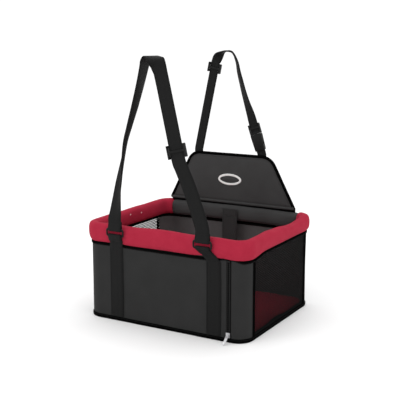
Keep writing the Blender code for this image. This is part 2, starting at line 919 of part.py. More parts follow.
def build_zipper():
    low, high = wall_foot, wall_head
    tape = zipper_zone / 2 - chain_gap / 2 - clearance
    y = -half_depth
    teeth_low = bottom_binding_rise + bottom_binding_height + zipper_end_margin
    teeth_high = outer_binding_head - top_binding_height - zipper_end_margin
    for sx, side in ((-1, "left"), (1, "right")):
        near = zipper_x + sx * chain_gap / 2
        far = zipper_x + sx * (chain_gap / 2 + tape)
        route = sorted(((near, y), (far, y)))
        standing_sheet(
            f"zipper_tape_{side}", route, low, high, tape_thickness, -1, "black_binding"
        )
        outline = [(near + sx * (tooth_reach + tooth_root), teeth_low)]
        count = int((teeth_high - teeth_low) / tooth_pitch)
        pitch = (teeth_high - teeth_low) / count
        for i in range(count):
            foot = teeth_low + pitch * i
            outline += [
                (near, foot), (near, foot + pitch / 2),
                (near + sx * tooth_reach, foot + pitch / 2), (near + sx * tooth_reach, foot + pitch),
            ]
        outline.append((near + sx * (tooth_reach + tooth_root), teeth_high))
        bm = prism_mesh(outline, clearance, clearance + tooth_height)
        teeth = add_mesh(f"zipper_teeth_{side}", bm, "black_plastic")
        teeth.matrix_world = Matrix.Translation((0, y, 0)) @ Matrix.Rotation(math.pi / 2, 4, "X")
    reach = chain_gap / 2 + tooth_reach + tooth_root
    for name, foot in (
        ("zipper_bottom_stop", teeth_low - clearance - stop_height),
        ("zipper_top_stop", teeth_high + clearance),
    ):
        front = y - clearance - tooth_height
        bm = box_mesh((zipper_x - reach, front, foot), (zipper_x + reach, y - clearance, foot + stop_height))
        add_mesh(name, bm, "zinc_zipper")


def build_zipper_slider():
    """A front and a back plate joined by a post that runs between the two rows of teeth."""
    half = slider_height / 2
    side = slider_width / 2
    teeth_front = -half_depth - clearance - tooth_height
    plate_back = teeth_front - clearance
    plate_front = plate_back - slider_plate
    behind = -half_depth + tape_thickness + clearance
    chain = chain_gap / 2 + tooth_reach + tooth_root + clearance
    z = slider_start
    cover = [
        (zipper_x - side, plate_front), (zipper_x + side, plate_front),
        (zipper_x + side, -half_depth - clearance), (zipper_x + chain, -half_depth - clearance),
        (zipper_x + chain, plate_back), (zipper_x - chain, plate_back),
        (zipper_x - chain, -half_depth - clearance), (zipper_x - side, -half_depth - clearance),
    ]
    first = prism_mesh(cover, z - half, z + half)
    others = [
        box_mesh(
            (zipper_x - side, behind, z - half), (zipper_x + side, behind + slider_plate, z + half)
        ),
        box_mesh(
            (zipper_x - slider_post / 2, plate_front + slider_plate / 2, z - half / 2),
            (zipper_x + slider_post / 2, behind + slider_plate / 2, z + half / 2),
        ),
    ]
    lug = box_mesh(
        (zipper_x - lug_width / 2, plate_front - lug_depth, z - lug_height / 2),
        (zipper_x + lug_width / 2, plate_front + slider_plate / 2, z + lug_height / 2),
    )
    slider = fused("zipper_slider", first, others + [lug], "zinc_zipper")
    pin_y = plate_front - lug_depth / 2
    bore = box_mesh(
        (zipper_x - lug_width, pin_y - lug_bore / 2, z - lug_bore / 2),
        (zipper_x + lug_width, pin_y + lug_bore / 2, z + lug_bore / 2),
    )
    boolean(slider, add_cutter("zipper_lug_bore", bore), "DIFFERENCE")
    build_pull(pin_y, z)


def build_pull(pin_y, pin_z):
    """A tab whose top bar passes through the slider's lug, leaning out onto the floor."""
    half = pull_width / 2
    bar = pull_bar / 2
    lean = math.acos((pin_z - pull_bar) / pull_length)
    origin = Matrix.Translation((zipper_x, pin_y, pin_z)) @ Matrix.Rotation(-lean, 4, "X")
    tab = add_mesh(
        "zipper_pull", box_mesh((-half, -bar, bar - pull_length), (half, bar, bar)), "zinc_zipper"
    )
    window = half - pull_bar
    hole = box_mesh((-window, -pull_width, -bar - pull_window), (window, pull_width, -bar))
    boolean(tab, add_cutter("pull_window", hole), "DIFFERENCE")
    move_with_helpers(tab, origin)


# Backrest flap

def backrest_outline():
    half_low, half_high = backrest_half_low, backrest_half_high
    low = fold_height - backrest_binding_diameter / 2
    return fillet([
        (-half_low, low, backrest_foot_radius), (half_low, low, backrest_foot_radius),
        (half_high, backrest_top, backrest_shoulder_radius),
        (-half_high, backrest_top, backrest_shoulder_radius),
    ], 5)


def upright(outline, y):
    return [(point.x, y, point.y) for point in outline]


def build_backrest():
    outline = backrest_outline()
    radius = backrest_binding_diameter / 2
    edge = upright(moved_inwards(outline, radius), fold_y)
    rod("backrest_binding", edge, backrest_binding_diameter, "black_binding", closed=True)
    panel = moved_inwards(outline, 2 * radius + clearance)
    bm = prism_mesh(panel, -backrest_thickness / 2, backrest_thickness / 2)
    obj = add_mesh("backrest_panel", bm, "black_oxford_cloth")
    obj.matrix_world = Matrix.Translation((0, fold_y, 0)) @ Matrix.Rotation(math.pi / 2, 4, "X")
    round_edges(obj, backrest_thickness / 4)


def ellipse(width, height, x, z):
    return [
        Vector((
            x + width / 2 * math.cos(2 * math.pi * i / badge_points),
            z + height / 2 * math.sin(2 * math.pi * i / badge_points),
        ))
        for i in range(badge_points)
    ]


def build_badge():
    """A bare oval patch in an oval border, sewn on the flap's front."""
    front = fold_y - backrest_thickness / 2 - clearance
    centre = fold_height + badge_rise
    turn = Matrix.Rotation(math.pi / 2, 4, "X")
    inner = (badge_width - 2 * badge_border_width, badge_height - 2 * badge_border_width)
    patch = add_mesh(
        "badge_patch", prism_mesh(ellipse(*inner, -badge_shift, centre), 0, badge_thickness),
        "black_lining_cloth",
    )
    patch.matrix_world = Matrix.Translation((0, front, 0)) @ turn
    border = add_mesh(
        "badge_border", prism_mesh(ellipse(badge_width, badge_height, -badge_shift, centre), 0, badge_thickness),
        "white_badge",
    )
    hole = (inner[0] + 2 * clearance, inner[1] + 2 * clearance)
    cutter = add_cutter(
        "badge_hole",
        prism_mesh(ellipse(*hole, -badge_shift, centre), -badge_thickness, 2 * badge_thickness),
    )
    boolean(border, cutter, "DIFFERENCE")
    move_with_helpers(border, Matrix.Translation((0, front, 0)) @ turn)


# Rear strap and its fittings

def rear_point(base_x, x_share, z_share, facing):
    x = rear_apex_x + (base_x - rear_apex_x) * x_share
    return (x, rear_strap_y, rear_strap_foot + rear_strap_rise * z_share, facing)


def buckle_frame():
    """The buckle's own frame: local Z runs from the housing's foot up to the tongue."""
    x = rear_right_x - (housing_foot_height - rear_strap_foot) * math.tan(buckle_lean)
    return leg_frame(Vector((x, rear_strap_y, housing_foot_height)), buckle_lean)


def build_rear_strap():
    frame = buckle_frame()
    tongue_top = housing_length + tongue_length
    left = [rear_point(rear_left_x, *shares) for shares in rear_left_leg_shares]
    low = rear_strap_foot - clearance
    upright = webbing_thickness * 2
    right = [rear_point(rear_right_x, *shares) for shares in rear_right_leg_shares]
    straight_low = housing_length + slide_bar
    ends = [
        (*(frame @ Vector((0, 0, tongue_top + rear_webbing_width))), 172),
        (*(frame @ Vector((0, 0, tongue_top))), 180),
        (*(frame @ Vector((0, 0, straight_low))), 180),
    ]
    route = [(*left[0][:2], low, 0), (*left[0][:2], low + upright, 0)]
    route += smooth_route(left[1:] + right + ends, 4)
    ribbon("rear_strap", route, rear_webbing_width, "black_webbing")
    route = [(rear_right_x, rear_strap_y, low + rise, 0) for rise in (0, upright)]
    for height in (-upright, housing_floor - stub_slot_height):
        route.append((*(frame @ Vector((0, 0, height))), 0))
    ribbon("rear_strap_lower", route, rear_webbing_width, "black_webbing")


def build_rear_anchors():
    """Webbing stubs sewn behind the flap's top edge, where the strap's ends turn."""
    high = rear_strap_foot - webbing_thickness / 2 - clearance
    low = high - rear_anchor_length
    for name, x in (("rear_anchor_left", rear_left_x), ("rear_anchor_right", rear_right_x)):
        half = rear_webbing_width / 2
        y = rear_strap_y
        bm = box_mesh(
            (x - half, y - webbing_thickness / 2, low), (x + half, y + webbing_thickness / 2, high)
        )
        add_mesh(name, bm, "black_webbing")


def build_rear_slide():
    low = rear_point(rear_left_x, *rear_left_leg_shares[0])
    high = rear_point(rear_left_x, *rear_left_leg_shares[1])
    place = leg_place(low, high, rear_slide_share)
    build_slide("rear_slider", rear_webbing_width, rear_slide_length, place)


def build_buckle():
    """A housing with side windows, a tongue with a middle guide, and two flexing prongs."""
    frame = buckle_frame()
    half = housing_width / 2
    deep = housing_thickness / 2
    outline = fillet([
        (-half + housing_wall, 0, housing_wall), (half - housing_wall, 0, housing_wall),
        (half, housing_length, housing_wall), (-half, housing_length, housing_wall),
    ], 2)
    turn = Matrix.Rotation(math.pi / 2, 4, "X")
    housing = add_mesh("buckle_housing", prism_mesh(outline, -deep, deep), "black_plastic")
    housing.data.transform(turn)
    inner = half - housing_side
    cavity = deep - housing_wall
    prong_foot = housing_length - clearance - prong_length
    window_low = prong_foot - window_margin
    window_high = prong_foot + prong_head_length + window_gap
    cuts = [
        box_mesh((-inner, -cavity, housing_floor), (inner, cavity, housing_length + housing_wall)),
        box_mesh((-housing_width, -cavity, window_low), (housing_width, cavity, window_high)),
        box_mesh(
            (-rear_webbing_width / 2 - clearance, -webbing_thickness / 2 - clearance, -housing_wall),
            (rear_webbing_width / 2 + clearance, webbing_thickness / 2 + clearance,
             housing_floor - stub_slot_height + clearance),
        ),
    ]
    for i, cut in enumerate(cuts):
        boolean(housing, add_cutter(f"housing_cut_{i}", cut), "DIFFERENCE")
    move_with_helpers(housing, frame)

    low = housing_length + clearance
    high = housing_length + tongue_length
    wide = tongue_width / 2
    thick = tongue_thickness / 2
    webbing = rear_webbing_width / 2 + clearance * 2
    first = box_mesh((-wide, -thick, low), (wide, thick, low + slide_bar))
    guide_thick = prong_thickness / 2
    others = [
        box_mesh(
            (-guide_width / 2, -guide_thick, low - guide_length), (guide_width / 2, guide_thick, low + slide_bar)
        ),
    ]
    for sx in (-1, 1):
        near, far = sorted((sx * webbing, sx * (wide + housing_wall / 2)))
        others.append(box_mesh((near, -thick, low), (far, thick, high)))
    gap = webbing_thickness / 2 + clearance * 2
    others.append(box_mesh((-wide, gap, high - slide_bar), (wide, thick, high)))
    middle = (low + slide_bar + high) / 2
    others.append(box_mesh(
        (-wide, -thick, middle - slide_bar / 2), (wide, -gap, middle + slide_bar / 2)
    ))
    tongue = fused("buckle_tongue", first, others, "black_plastic")
    slot = box_mesh(
        (-webbing, -gap, low + slide_bar / 2), (webbing, gap, low + 2 * slide_bar)
    )
    boolean(tongue, add_cutter("tongue_slot", slot), "DIFFERENCE")
    move_with_helpers(tongue, frame)
    for sx, side in ((-1, "left"), (1, "right")):
        build_prong(f"buckle_prong_{side}", sx, frame, low)


def build_prong(name, side, frame, base):
    """A springy arm with a press pad that stands out through the housing's window."""
    thick = prong_thickness / 2
    top = base - 2 * clearance
    foot = top - prong_length
    near = prong_offset - prong_width / 2
    far = prong_offset + prong_width / 2
    pad = far + prong_head_reach
    outline = [
        (near, foot + prong_width), (near + prong_width / 2, foot), (far, foot),
        (pad, foot + prong_head_length / 3), (pad, foot + prong_head_length),
        (far, foot + prong_head_length), (far, top), (near, top),
    ]
    outline = [(side * x, z) for x, z in outline]
    arm = add_mesh(name, prism_mesh(outline, -thick, thick), "black_plastic")
    arm.data.transform(Matrix.Rotation(math.pi / 2, 4, "X"))
    pin = Vector((side * prong_offset, 0, top - prong_pin_height))
    arm.data.transform(Matrix.Translation(-pin))
    arm.matrix_world = frame @ Matrix.Translation(pin)


# Tether

def tether_y():
    """The tether hangs just inside the rim's inner skin."""
    return half_depth - rim_inset - rim_width / 2 - clearance - webbing_thickness / 2


def build_tether():
    y = tether_y()
    anchor_low = rim_centre_height - tether_anchor_height / 2 + tether_anchor_rise
    half = tether_width / 2
    bm = box_mesh(
        (tether_x - half, y - webbing_thickness / 2, anchor_low),
        (tether_x + half, y + webbing_thickness / 2, anchor_low + tether_anchor_height),
    )
    add_mesh("tether_anchor", bm, "black_webbing")
    pivot = anchor_low - clearance - webbing_thickness / 2
    eye_radius = eye_bar_diameter / 2
    turn_radius = eye_radius + clearance + webbing_thickness / 2
    eye_y = y + turn_radius
    eye_top = pivot - tether_drop
    route = [(tether_x, y, pivot + clearance, 0), (tether_x, y, eye_top + tether_anchor_height, 0)]
    for py, pz, _, _ in arc(eye_y, eye_top, turn_radius, 180, 360, webbing_loop_steps):
        route.append((tether_x, py, pz, 0))
    route.append((tether_x, y + 2 * webbing_thickness, eye_top + tether_anchor_height, 0))
    ribbon("tether_webbing", route, tether_width, "black_webbing")
    build_swivel(Vector((tether_x, eye_y, eye_top)))


def build_swivel(top):
    """A rectangular eye on a headed stem, and the hook's barrel that turns on the stem."""
    half_x = tether_width / 2 + ring_corner_radius + clearance
    corners = [
        (sx * half_x, (sz - 1) * eye_bar_spacing / 2, ring_corner_radius) for sx, sz in CORNER_SIGNS
    ]
    places = [top + Vector((point.x, 0, point.y)) for point in fillet(corners, 3)]
    eye = as_mesh(rod("swivel_eye", places, eye_bar_diameter, "steel_hook", closed=True))
    stem_top = top.z - eye_bar_spacing
    stem_low = stem_top - stem_length
    centre = Matrix.Translation((top.x, top.y, 0))
    stem = add_cutter(
        "swivel_stem", turned_mesh(stem_diameter / 2, stem_low - stem_head_height / 2, stem_top)
    )
    head = add_cutter(
        "swivel_head", turned_mesh(stem_head_diameter / 2, stem_low - stem_head_height, stem_low)
    )
    for piece in (stem, head):
        piece.matrix_world = centre
        boolean(eye, piece, "UNION")

    barrel_top = stem_low + clearance + barrel_roof
    barrel_low = barrel_top - barrel_height
    hook = hook_bar(barrel_low)
    barrel = add_mesh(
        "snap_hook", turned_mesh(barrel_diameter / 2, barrel_low, barrel_top), "steel_hook"
    )
    boolean(barrel, hook, "UNION")
    bores = (
        turned_mesh(stem_diameter / 2 + turning_gap, stem_low, barrel_top + barrel_roof),
        turned_mesh(
            stem_head_diameter / 2 + turning_gap, stem_low - stem_head_height - clearance,
            stem_low + clearance,
        ),
    )
    for i, bore in enumerate(bores):
        boolean(barrel, add_cutter(f"barrel_bore_{i}", bore), "DIFFERENCE")
    move_with_helpers(barrel, centre)
    build_gate(barrel_low, centre)


def hook_bar(barrel_low):
    """The hook's bar: down one side, round the foot and up to a tip."""
    bend = barrel_low - hook_length + hook_half_width
    points = [
        (hook_half_width / 3, 0, barrel_low + hook_bar_diameter / 2),
        (hook_half_width * 2 / 3, 0, barrel_low - hook_bar_diameter / 2),
        (hook_half_width, 0, barrel_low - hook_bar_diameter * 3 / 2),
    ]
    points += [(x, 0, z) for x, z, _, _ in arc(0, bend, hook_half_width, 0, -180, 8)]
    points.append((-hook_half_width, 0, bend + hook_tip_rise))
    bar = rod("hook_bar", points, hook_bar_diameter, None, resolution=2)
    bar = as_mesh(bar)
    parts.objects.unlink(bar)
    cutters.objects.link(bar)
    bar.hide_render = True
    bar.display_type = "WIRE"
    return bar


def build_gate(barrel_low, centre):
    """A sprung bar that closes the hook and turns in under the barrel."""
    radius = gate_diameter / 2
    tip = barrel_low - hook_length + hook_half_width + hook_tip_rise
    pivot = Vector((-barrel_diameter / 2 + radius, 0, barrel_low - clearance - radius))
    reach = Vector((-hook_half_width, 0, tip + clearance)) - pivot
    lean = math.atan2(-reach.x, -reach.z)
    bm = bmesh.new()
    bmesh.ops.create_cone(
        bm, cap_ends=True, segments=ring_points, radius1=radius, radius2=radius,
        depth=reach.length - radius,
    )
    bmesh.ops.translate(bm, vec=(0, 0, -(reach.length - radius) / 2), verts=bm.verts)
    gate = add_mesh("snap_gate", bm, "steel_hook")
    ball = bmesh.new()
    bmesh.ops.create_uvsphere(ball, u_segments=ring_points, v_segments=8, radius=radius)
    boolean(gate, add_cutter("gate_knuckle", ball), "UNION")
    turn = Matrix.Rotation(lean, 4, "Y")
    move_with_helpers(gate, centre @ Matrix.Translation(pivot) @ turn)


def main():
    global parts, cutters
    clear_scene()
    parts = make_collection("dog_car_seat")
    cutters = make_collection("cutters")
    make_finishes()
    build_base()
    build_mat()
    build_walls()
    build_window(-1, "mesh_window_left")
    build_window(1, "mesh_window_right")
    build_window_bindings()
    build_bindings()
    build_rim()
    build_frame()
    for name, band_x, ring_x in (
        ("front_band_left", band_left_x, ring_left_x),
        ("front_band_right", band_right_x, ring_right_x),
    ):
        route = band_route(band_x, ring_x)
        ribbon(name, route, front_webbing_width, "black_webbing", square=False)
    build_ring("ring_left", ring_left_x)
    build_ring("ring_right", ring_right_x)
    build_front_strap()
    build_front_slide()
    build_zipper()
    build_zipper_slider()
    build_backrest()
    build_badge()
    build_rear_anchors()
    build_rear_strap()
    build_rear_slide()
    build_buckle()
    build_tether()


main()
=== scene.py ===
# %% [markdown]
# # A small dog's car seat
#
# The seat is an open cloth box with a padded red rim. It hangs in a car by two webbing straps.
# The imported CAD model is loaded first. It says where each piece is and what it moves with, so every
# piece made here is placed by reading the frame, and nothing has to be fitted by eye.

# %% Load the frame
import itertools
import math

import bmesh
import bpy
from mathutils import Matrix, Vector, noise


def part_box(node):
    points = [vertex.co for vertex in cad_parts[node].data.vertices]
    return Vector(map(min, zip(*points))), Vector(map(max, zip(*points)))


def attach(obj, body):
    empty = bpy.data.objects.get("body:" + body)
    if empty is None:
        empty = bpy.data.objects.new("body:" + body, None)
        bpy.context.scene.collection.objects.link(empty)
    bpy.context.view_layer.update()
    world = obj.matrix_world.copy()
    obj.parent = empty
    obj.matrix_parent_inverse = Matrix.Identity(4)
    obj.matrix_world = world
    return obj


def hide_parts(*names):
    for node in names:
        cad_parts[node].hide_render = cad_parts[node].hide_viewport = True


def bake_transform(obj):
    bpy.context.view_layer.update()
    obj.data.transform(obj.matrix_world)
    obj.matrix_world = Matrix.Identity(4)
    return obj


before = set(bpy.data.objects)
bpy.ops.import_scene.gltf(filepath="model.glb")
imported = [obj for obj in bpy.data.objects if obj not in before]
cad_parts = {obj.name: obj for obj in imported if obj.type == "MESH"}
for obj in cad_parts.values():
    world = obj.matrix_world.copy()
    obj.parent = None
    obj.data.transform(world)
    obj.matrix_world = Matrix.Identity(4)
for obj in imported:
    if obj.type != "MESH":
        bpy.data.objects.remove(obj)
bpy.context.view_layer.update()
MM = 0.001

# %% [markdown]
# ## The camera
#
# A photograph of a product is usually taken with a long lens from a little above. The camera is
# aimed at the middle of the object from the angle that the corners of the box show. Its lens comes
# from the focal length in pixels, because the picture is 400 pixels wide.

# %% The photograph's camera
picture_pixels = 400
focal_pixels = 850
sensor_width = 36
camera_target = Vector((-0.003, 0, 0.269))
camera_distance = 2.025
camera_azimuth = math.radians(30.0)
camera_elevation = math.radians(10.94)
camera_back = Vector((
    math.sin(camera_azimuth) * math.cos(camera_elevation),
    -math.cos(camera_azimuth) * math.cos(camera_elevation),
    math.sin(camera_elevation),
))
bpy.ops.object.select_all(action="DESELECT")
bpy.ops.object.camera_add(
    location=camera_target + camera_distance * camera_back,
    rotation=camera_back.to_track_quat("Z", "Y").to_euler(),
)
camera = bpy.context.object
camera.name = "photo_camera"
camera.data.sensor_width = sensor_width
camera.data.lens = focal_pixels / picture_pixels * sensor_width
bpy.context.scene.camera = camera
print("lens in mm:", round(camera.data.lens, 1))

# %% [markdown]
# ## Helpers for materials
#
# Screen colours are written as sRGB hex, but shaders work in linear light, so one function turns
# them. Another adds a node with its settings and links. A finish starts from one shader, and its
# pattern is then wired into the shader's colour, roughness and normal.

# %% Colours, nodes and a plain finish
def linear(hex_colour):
    """An sRGB hex colour as the linear numbers that a shader takes."""
    made = []
    for i in (1, 3, 5):
        share = int(hex_colour[i:i + 2], 16) / 255
        made.append(share / 12.92 if share <= 0.04045 else ((share + 0.055) / 1.055) ** 2.4)
    return (*made, 1.0)


def add_node(finish, kind, settings=(), links=()):
    """Adds a node; a setting or link is given as (socket or property, value or source)."""
    node = finish.node_tree.nodes.new(kind)
    for key, value in settings:
        if isinstance(key, int) or key in node.inputs:
            node.inputs[key].default_value = value
        else:
            setattr(node, key, value)
    for key, source in links:
        finish.node_tree.links.new(source, node.inputs[key])
    return node


def new_finish(name, hex_colour, roughness, metallic=0.0, gloss=0.5):
    finish = bpy.data.materials.new(name)
    finish.use_nodes = True
    shader = finish.node_tree.nodes["Principled BSDF"]
    shader.inputs["Specular IOR Level"].default_value = gloss
    shader.inputs["Base Color"].default_value = linear(hex_colour)
    shader.inputs["Roughness"].default_value = roughness
    shader.inputs["Metallic"].default_value = metallic
    return finish, shader


def wire(finish, shader, socket, source):
    finish.node_tree.links.new(source, shader.inputs[socket])


def coloured(finish, shader, factor, dark, light):
    """Gives the shader a colour between two hex colours, by a factor from 0 to 1."""
    settings = (("data_type", "RGBA"), (6, linear(dark)), (7, linear(light)))
    mix = add_node(finish, "ShaderNodeMix", settings, ((0, factor),))
    wire(finish, shader, "Base Color", mix.outputs[2])


def fuzz(shader, weight, roughness=0.5):
    """Loose fibres, which scatter light at grazing angles."""
    shader.inputs["Sheen Weight"].default_value = weight
    shader.inputs["Sheen Roughness"].default_value = roughness


def relief(finish, shader, height, depth, strength=1.0):
    """Wires a height pattern into the shader's normal; depth is its real height in metres."""
    settings = (("Strength", strength), ("Distance", depth))
    bump = add_node(finish, "ShaderNodeBump", settings, (("Height", height),))
    wire(finish, shader, "Normal", bump.outputs["Normal"])


def maths(finish, operation, first, second=None, third=None):
    """One step of arithmetic on sockets or numbers."""
    given = [value for value in (first, second, third) if value is not None]
    settings = [("operation", operation)]
    settings += [(i, v) for i, v in enumerate(given) if isinstance(v, (int, float))]
    links = [(i, v) for i, v in enumerate(given) if not isinstance(v, (int, float))]
    return add_node(finish, "ShaderNodeMath", settings, links).outputs[0]


def split(finish, vector):
    return add_node(finish, "ShaderNodeSeparateXYZ", (), (("Vector", vector),)).outputs


def cloth_map(finish):
    """The piece's own map: metres across the cloth and metres along it."""
    return add_node(finish, "ShaderNodeUVMap", (("uv_map", "cloth"),)).outputs["UV"]


def place_map(finish):
    return add_node(finish, "ShaderNodeTexCoord").outputs["Object"]


def speckle(finish, vector, size, detail=2.0):
    """Smooth noise from 0 to 1 whose spots are about size metres wide."""
    settings = (("Scale", 1 / size), ("Detail", detail))
    links = (("Vector", vector),)
    return add_node(finish, "ShaderNodeTexNoise", settings, links).outputs["Fac"]


# %% [markdown]
# ## Woven cloth
#
# The box is sewn from coated polyester Oxford cloth. In a plain weave each thread goes over one and
# under the next. The product of two sine waves has the same pattern of raised and sunken spots.
# The real threads are 0.6 mm apart, too fine for a picture this small, so they are drawn at 1.1 mm.
# Threads shade each other, so black cloth reflects less than smooth plastic does. Its gloss is set
# low, and a little sheen stands for the loose fibres.

# %% Oxford cloth and lining cloth
oxford_pitch = 1.1 * MM
cloth_gloss = 0.14


def weave(finish, vector, pitch):
    """A plain weave's height from 0 to 1."""
    across, along, _ = split(finish, vector)
    waves = [
        maths(finish, "SINE", maths(finish, "MULTIPLY", way, math.pi / pitch))
        for way in (across, along)
    ]
    return maths(finish, "MULTIPLY_ADD", maths(finish, "MULTIPLY", *waves), 0.5, 0.5)


def woven_finish(name, dark, light, pitch, vector_of):
    """A plain woven cloth between two colours, cloudy by a few centimetres."""
    finish, shader = new_finish(name, light, 0.78, gloss=cloth_gloss)
    vector = vector_of(finish)
    threads = weave(finish, vector, pitch)
    clouds = speckle(finish, place_map(finish), 45 * MM)
    share = maths(finish, "MULTIPLY_ADD", threads, 0.45, maths(finish, "MULTIPLY", clouds, 0.55))
    coloured(finish, shader, share, dark, light)
    wire(finish, shader, "Roughness", maths(finish, "MULTIPLY_ADD", threads, -0.12, 0.84))
    fuzz(shader, 0.02)
    relief(finish, shader, threads, 0.12 * MM)
    return finish


def flat_map(finish):
    """X and Z of the place as the map, for an upright panel whose own map the remesh took."""
    x, _, z = split(finish, place_map(finish))
    return add_node(finish, "ShaderNodeCombineXYZ", (), ((0, x), (1, z))).outputs[0]


oxford_cloth = woven_finish("coated_oxford_cloth", "#1F1F1F", "#2D2D2D", oxford_pitch, cloth_map)
flap_cloth = woven_finish("padded_oxford_cloth", "#303030", "#434343", oxford_pitch, flat_map)
# The lining is drawn lighter than the outer cloth: partly its own grey, partly painted light standing
# in for the light that the inside of the box lacks.
lining_cloth = woven_finish("grey_lining_cloth_painted_lighter", "#4C4C4C", "#5E5E5E", oxford_pitch, cloth_map)
print("weave pitch in mm:", oxford_pitch / MM)

# %% [markdown]
# ## Plush, tape, webbing and net
#
# The rim and mat are red short-pile plush, which scatters light at grazing angles, so it has sheen,
# and its pile leans in patches. Binding tape is ribbed across. Webbing is a twill that makes
# chevrons, with a sewn line near each edge. The net is knitted from dull black yarn.

# %% Red plush
pile_size = 1.6 * MM
brushed_patch = 26 * MM


def plush_finish(name, dark, light):
    finish, shader = new_finish(name, light, 0.88, gloss=0.1)
    place = place_map(finish)
    pile = speckle(finish, place, pile_size, 3.0)
    patches = speckle(finish, place, brushed_patch)
    share = maths(finish, "MULTIPLY_ADD", pile, 0.35, maths(finish, "MULTIPLY", patches, 0.65))
    coloured(finish, shader, share, dark, light)
    fuzz(shader, 0.08, 0.35)
    shader.inputs["Sheen Tint"].default_value = linear("#D0485C")
    relief(finish, shader, pile, 0.35 * MM, 0.7)
    return finish


red_plush = plush_finish("red_short_pile_plush", "#931A30", "#AA2C41")
mat_plush = plush_finish("short_pile_mat_plush", "#A61D37", "#C03349")

# %% Ribbed tape and chevron webbing
rib_pitch = 1.5 * MM
chevron_pitch = 2.6 * MM
chevron_width = 6 * MM


def tape_finish(name, dark, light):
    """Polyester binding tape with ribs across it, 1.5 mm apart so that they show."""
    finish, shader = new_finish(name, light, 0.7, gloss=0)
    along = split(finish, cloth_map(finish))[1]
    wave = maths(finish, "SINE", maths(finish, "MULTIPLY", along, 2 * math.pi / rib_pitch))
    ribs = maths(finish, "MULTIPLY_ADD", wave, 0.5, 0.5)
    coloured(finish, shader, ribs, dark, light)
    relief(finish, shader, ribs, 0.18 * MM)
    return finish


def webbing_finish(name, dark, light, width):
    """Polypropylene twill: the lines across the width turn back every few millimetres."""
    finish, shader = new_finish(name, light, 0.6, gloss=0.14)
    across, along, _ = split(finish, cloth_map(finish))
    turned = maths(finish, "PINGPONG", across, chevron_width)
    slant = maths(finish, "ADD", turned, along)
    wave = maths(finish, "SINE", maths(finish, "MULTIPLY", slant, 2 * math.pi / chevron_pitch))
    twill = maths(finish, "MULTIPLY_ADD", wave, 0.5, 0.5)
    middle = maths(finish, "ABSOLUTE", maths(finish, "SUBTRACT", across, width / 2))
    sewn = maths(finish, "COMPARE", middle, width / 2 - 3 * MM, 0.7 * MM)
    lit = maths(finish, "MULTIPLY", twill, maths(finish, "MULTIPLY_ADD", sewn, -0.9, 1.0))
    coloured(finish, shader, lit, dark, light)
    height = maths(finish, "MULTIPLY_ADD", sewn, -1.2, twill)
    relief(finish, shader, height, 0.22 * MM)
    return finish


binding_tape = tape_finish("ribbed_binding_tape", "#030303", "#0C0C0C")

# %% Net yarn, sewing thread and moulded parts
def yarn_finish(name, dark, light, size, sheen, gloss=0.12):
    finish, shader = new_finish(name, light, 0.65, gloss=gloss)
    twist = speckle(finish, place_map(finish), size)
    coloured(finish, shader, twist, dark, light)
    fuzz(shader, sheen)
    relief(finish, shader, twist, 0.1 * MM)
    return finish


def moulded_finish(name, dark, light, roughness, grain):
    """Injection moulded plastic: a fine spark-eroded grain, glossier where it is handled."""
    finish, shader = new_finish(name, light, roughness, gloss=0.2)
    place = place_map(finish)
    grains = speckle(finish, place, grain, 3.0)
    wear = speckle(finish, place, 9 * MM)
    coloured(finish, shader, wear, dark, light)
    wire(finish, shader, "Roughness", maths(finish, "MULTIPLY_ADD", wear, 0.16, roughness - 0.08))
    relief(finish, shader, grains, 0.05 * MM)
    return finish


def cast_finish(name, dark, light, roughness):
    """Die-cast or drawn metal, tumbled: faint streaks, and darker in random patches."""
    finish, shader = new_finish(name, light, roughness, 1.0)
    place = place_map(finish)
    streaks = speckle(finish, place, 1.2 * MM, 4.0)
    stain = speckle(finish, place, 5 * MM)
    coloured(finish, shader, stain, dark, light)
    wire(finish, shader, "Roughness", maths(finish, "MULTIPLY_ADD", streaks, 0.25, roughness - 0.1))
    relief(finish, shader, streaks, 0.03 * MM)
    return finish


net_yarn = yarn_finish("knitted_polyester_net", "#030303", "#0A0A0A", 1.5 * MM, 0, 0.03)
black_thread = yarn_finish("black_sewing_thread", "#0C0C0C", "#1C1C1C", 0.8 * MM, 0.05)
# Pale thread for the two small pale marks on the rim.
pale_mark_finish = yarn_finish("pale_rim_mark_thread", "#D09CA2", "#E8C4C8", 0.8 * MM, 0.1)
acetal = moulded_finish("moulded_black_acetal", "#040404", "#0A0A0A", 0.45, 0.5 * MM)
pvc_tube = moulded_finish("extruded_white_pvc", "#D2D2CC", "#E4E4DE", 0.4, 0.8 * MM)
pulp_board = moulded_finish("black_faced_board", "#101010", "#1C1C1C", 0.9, 1.2 * MM)
cast_zinc = cast_finish("tumbled_zinc_casting", "#A8A8AA", "#D4D4D6", 0.36)
plated_steel = cast_finish("nickel_plated_steel", "#B4B2AC", "#D8D6D0", 0.25)
white_weave = yarn_finish("woven_white_edging", "#D4D4D2", "#F2F2F0", 1.2 * MM, 0.1)
nylon_coil = moulded_finish("drawn_nylon_coil", "#0A0A0A", "#161616", 0.5, 0.6 * MM)
print("finishes:", len(bpy.data.materials))

# %% [markdown]
# ## The form of the body
#
# The box is a rectangle with rounded corners. Walls, tapes and rim all follow that one outline, so
# a single function walks along it. A second function measures how far a point lies outside it.
# The sizes come from the boxes of the CAD nodes.

# %% The outline of the box
base_low, base_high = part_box("base_panel")
half_x, half_y = base_high.x, base_high.y
zipper_left_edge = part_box("front_panel")[1].x
zipper_right_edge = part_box("zipper_tape_right")[1].x
zipper_zone = zipper_right_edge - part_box("zipper_tape_left")[0].x
corner_gap = 1 * MM
corner_radius = half_x - zipper_left_edge - zipper_zone - corner_gap
straight_x = half_x - corner_radius
straight_y = half_y - corner_radius
bend = corner_radius * math.pi / 2
stretches = (
    (straight_x, False), (bend, True), (2 * straight_y, False), (bend, True),
    (2 * straight_x, False), (bend, True), (2 * straight_y, False), (bend, True),
    (straight_x, False),
)
perimeter = sum(length for length, _ in stretches)
front_corner = straight_x
side_start = front_corner + bend
side_end = side_start + 2 * straight_y
back_corner = side_end + bend


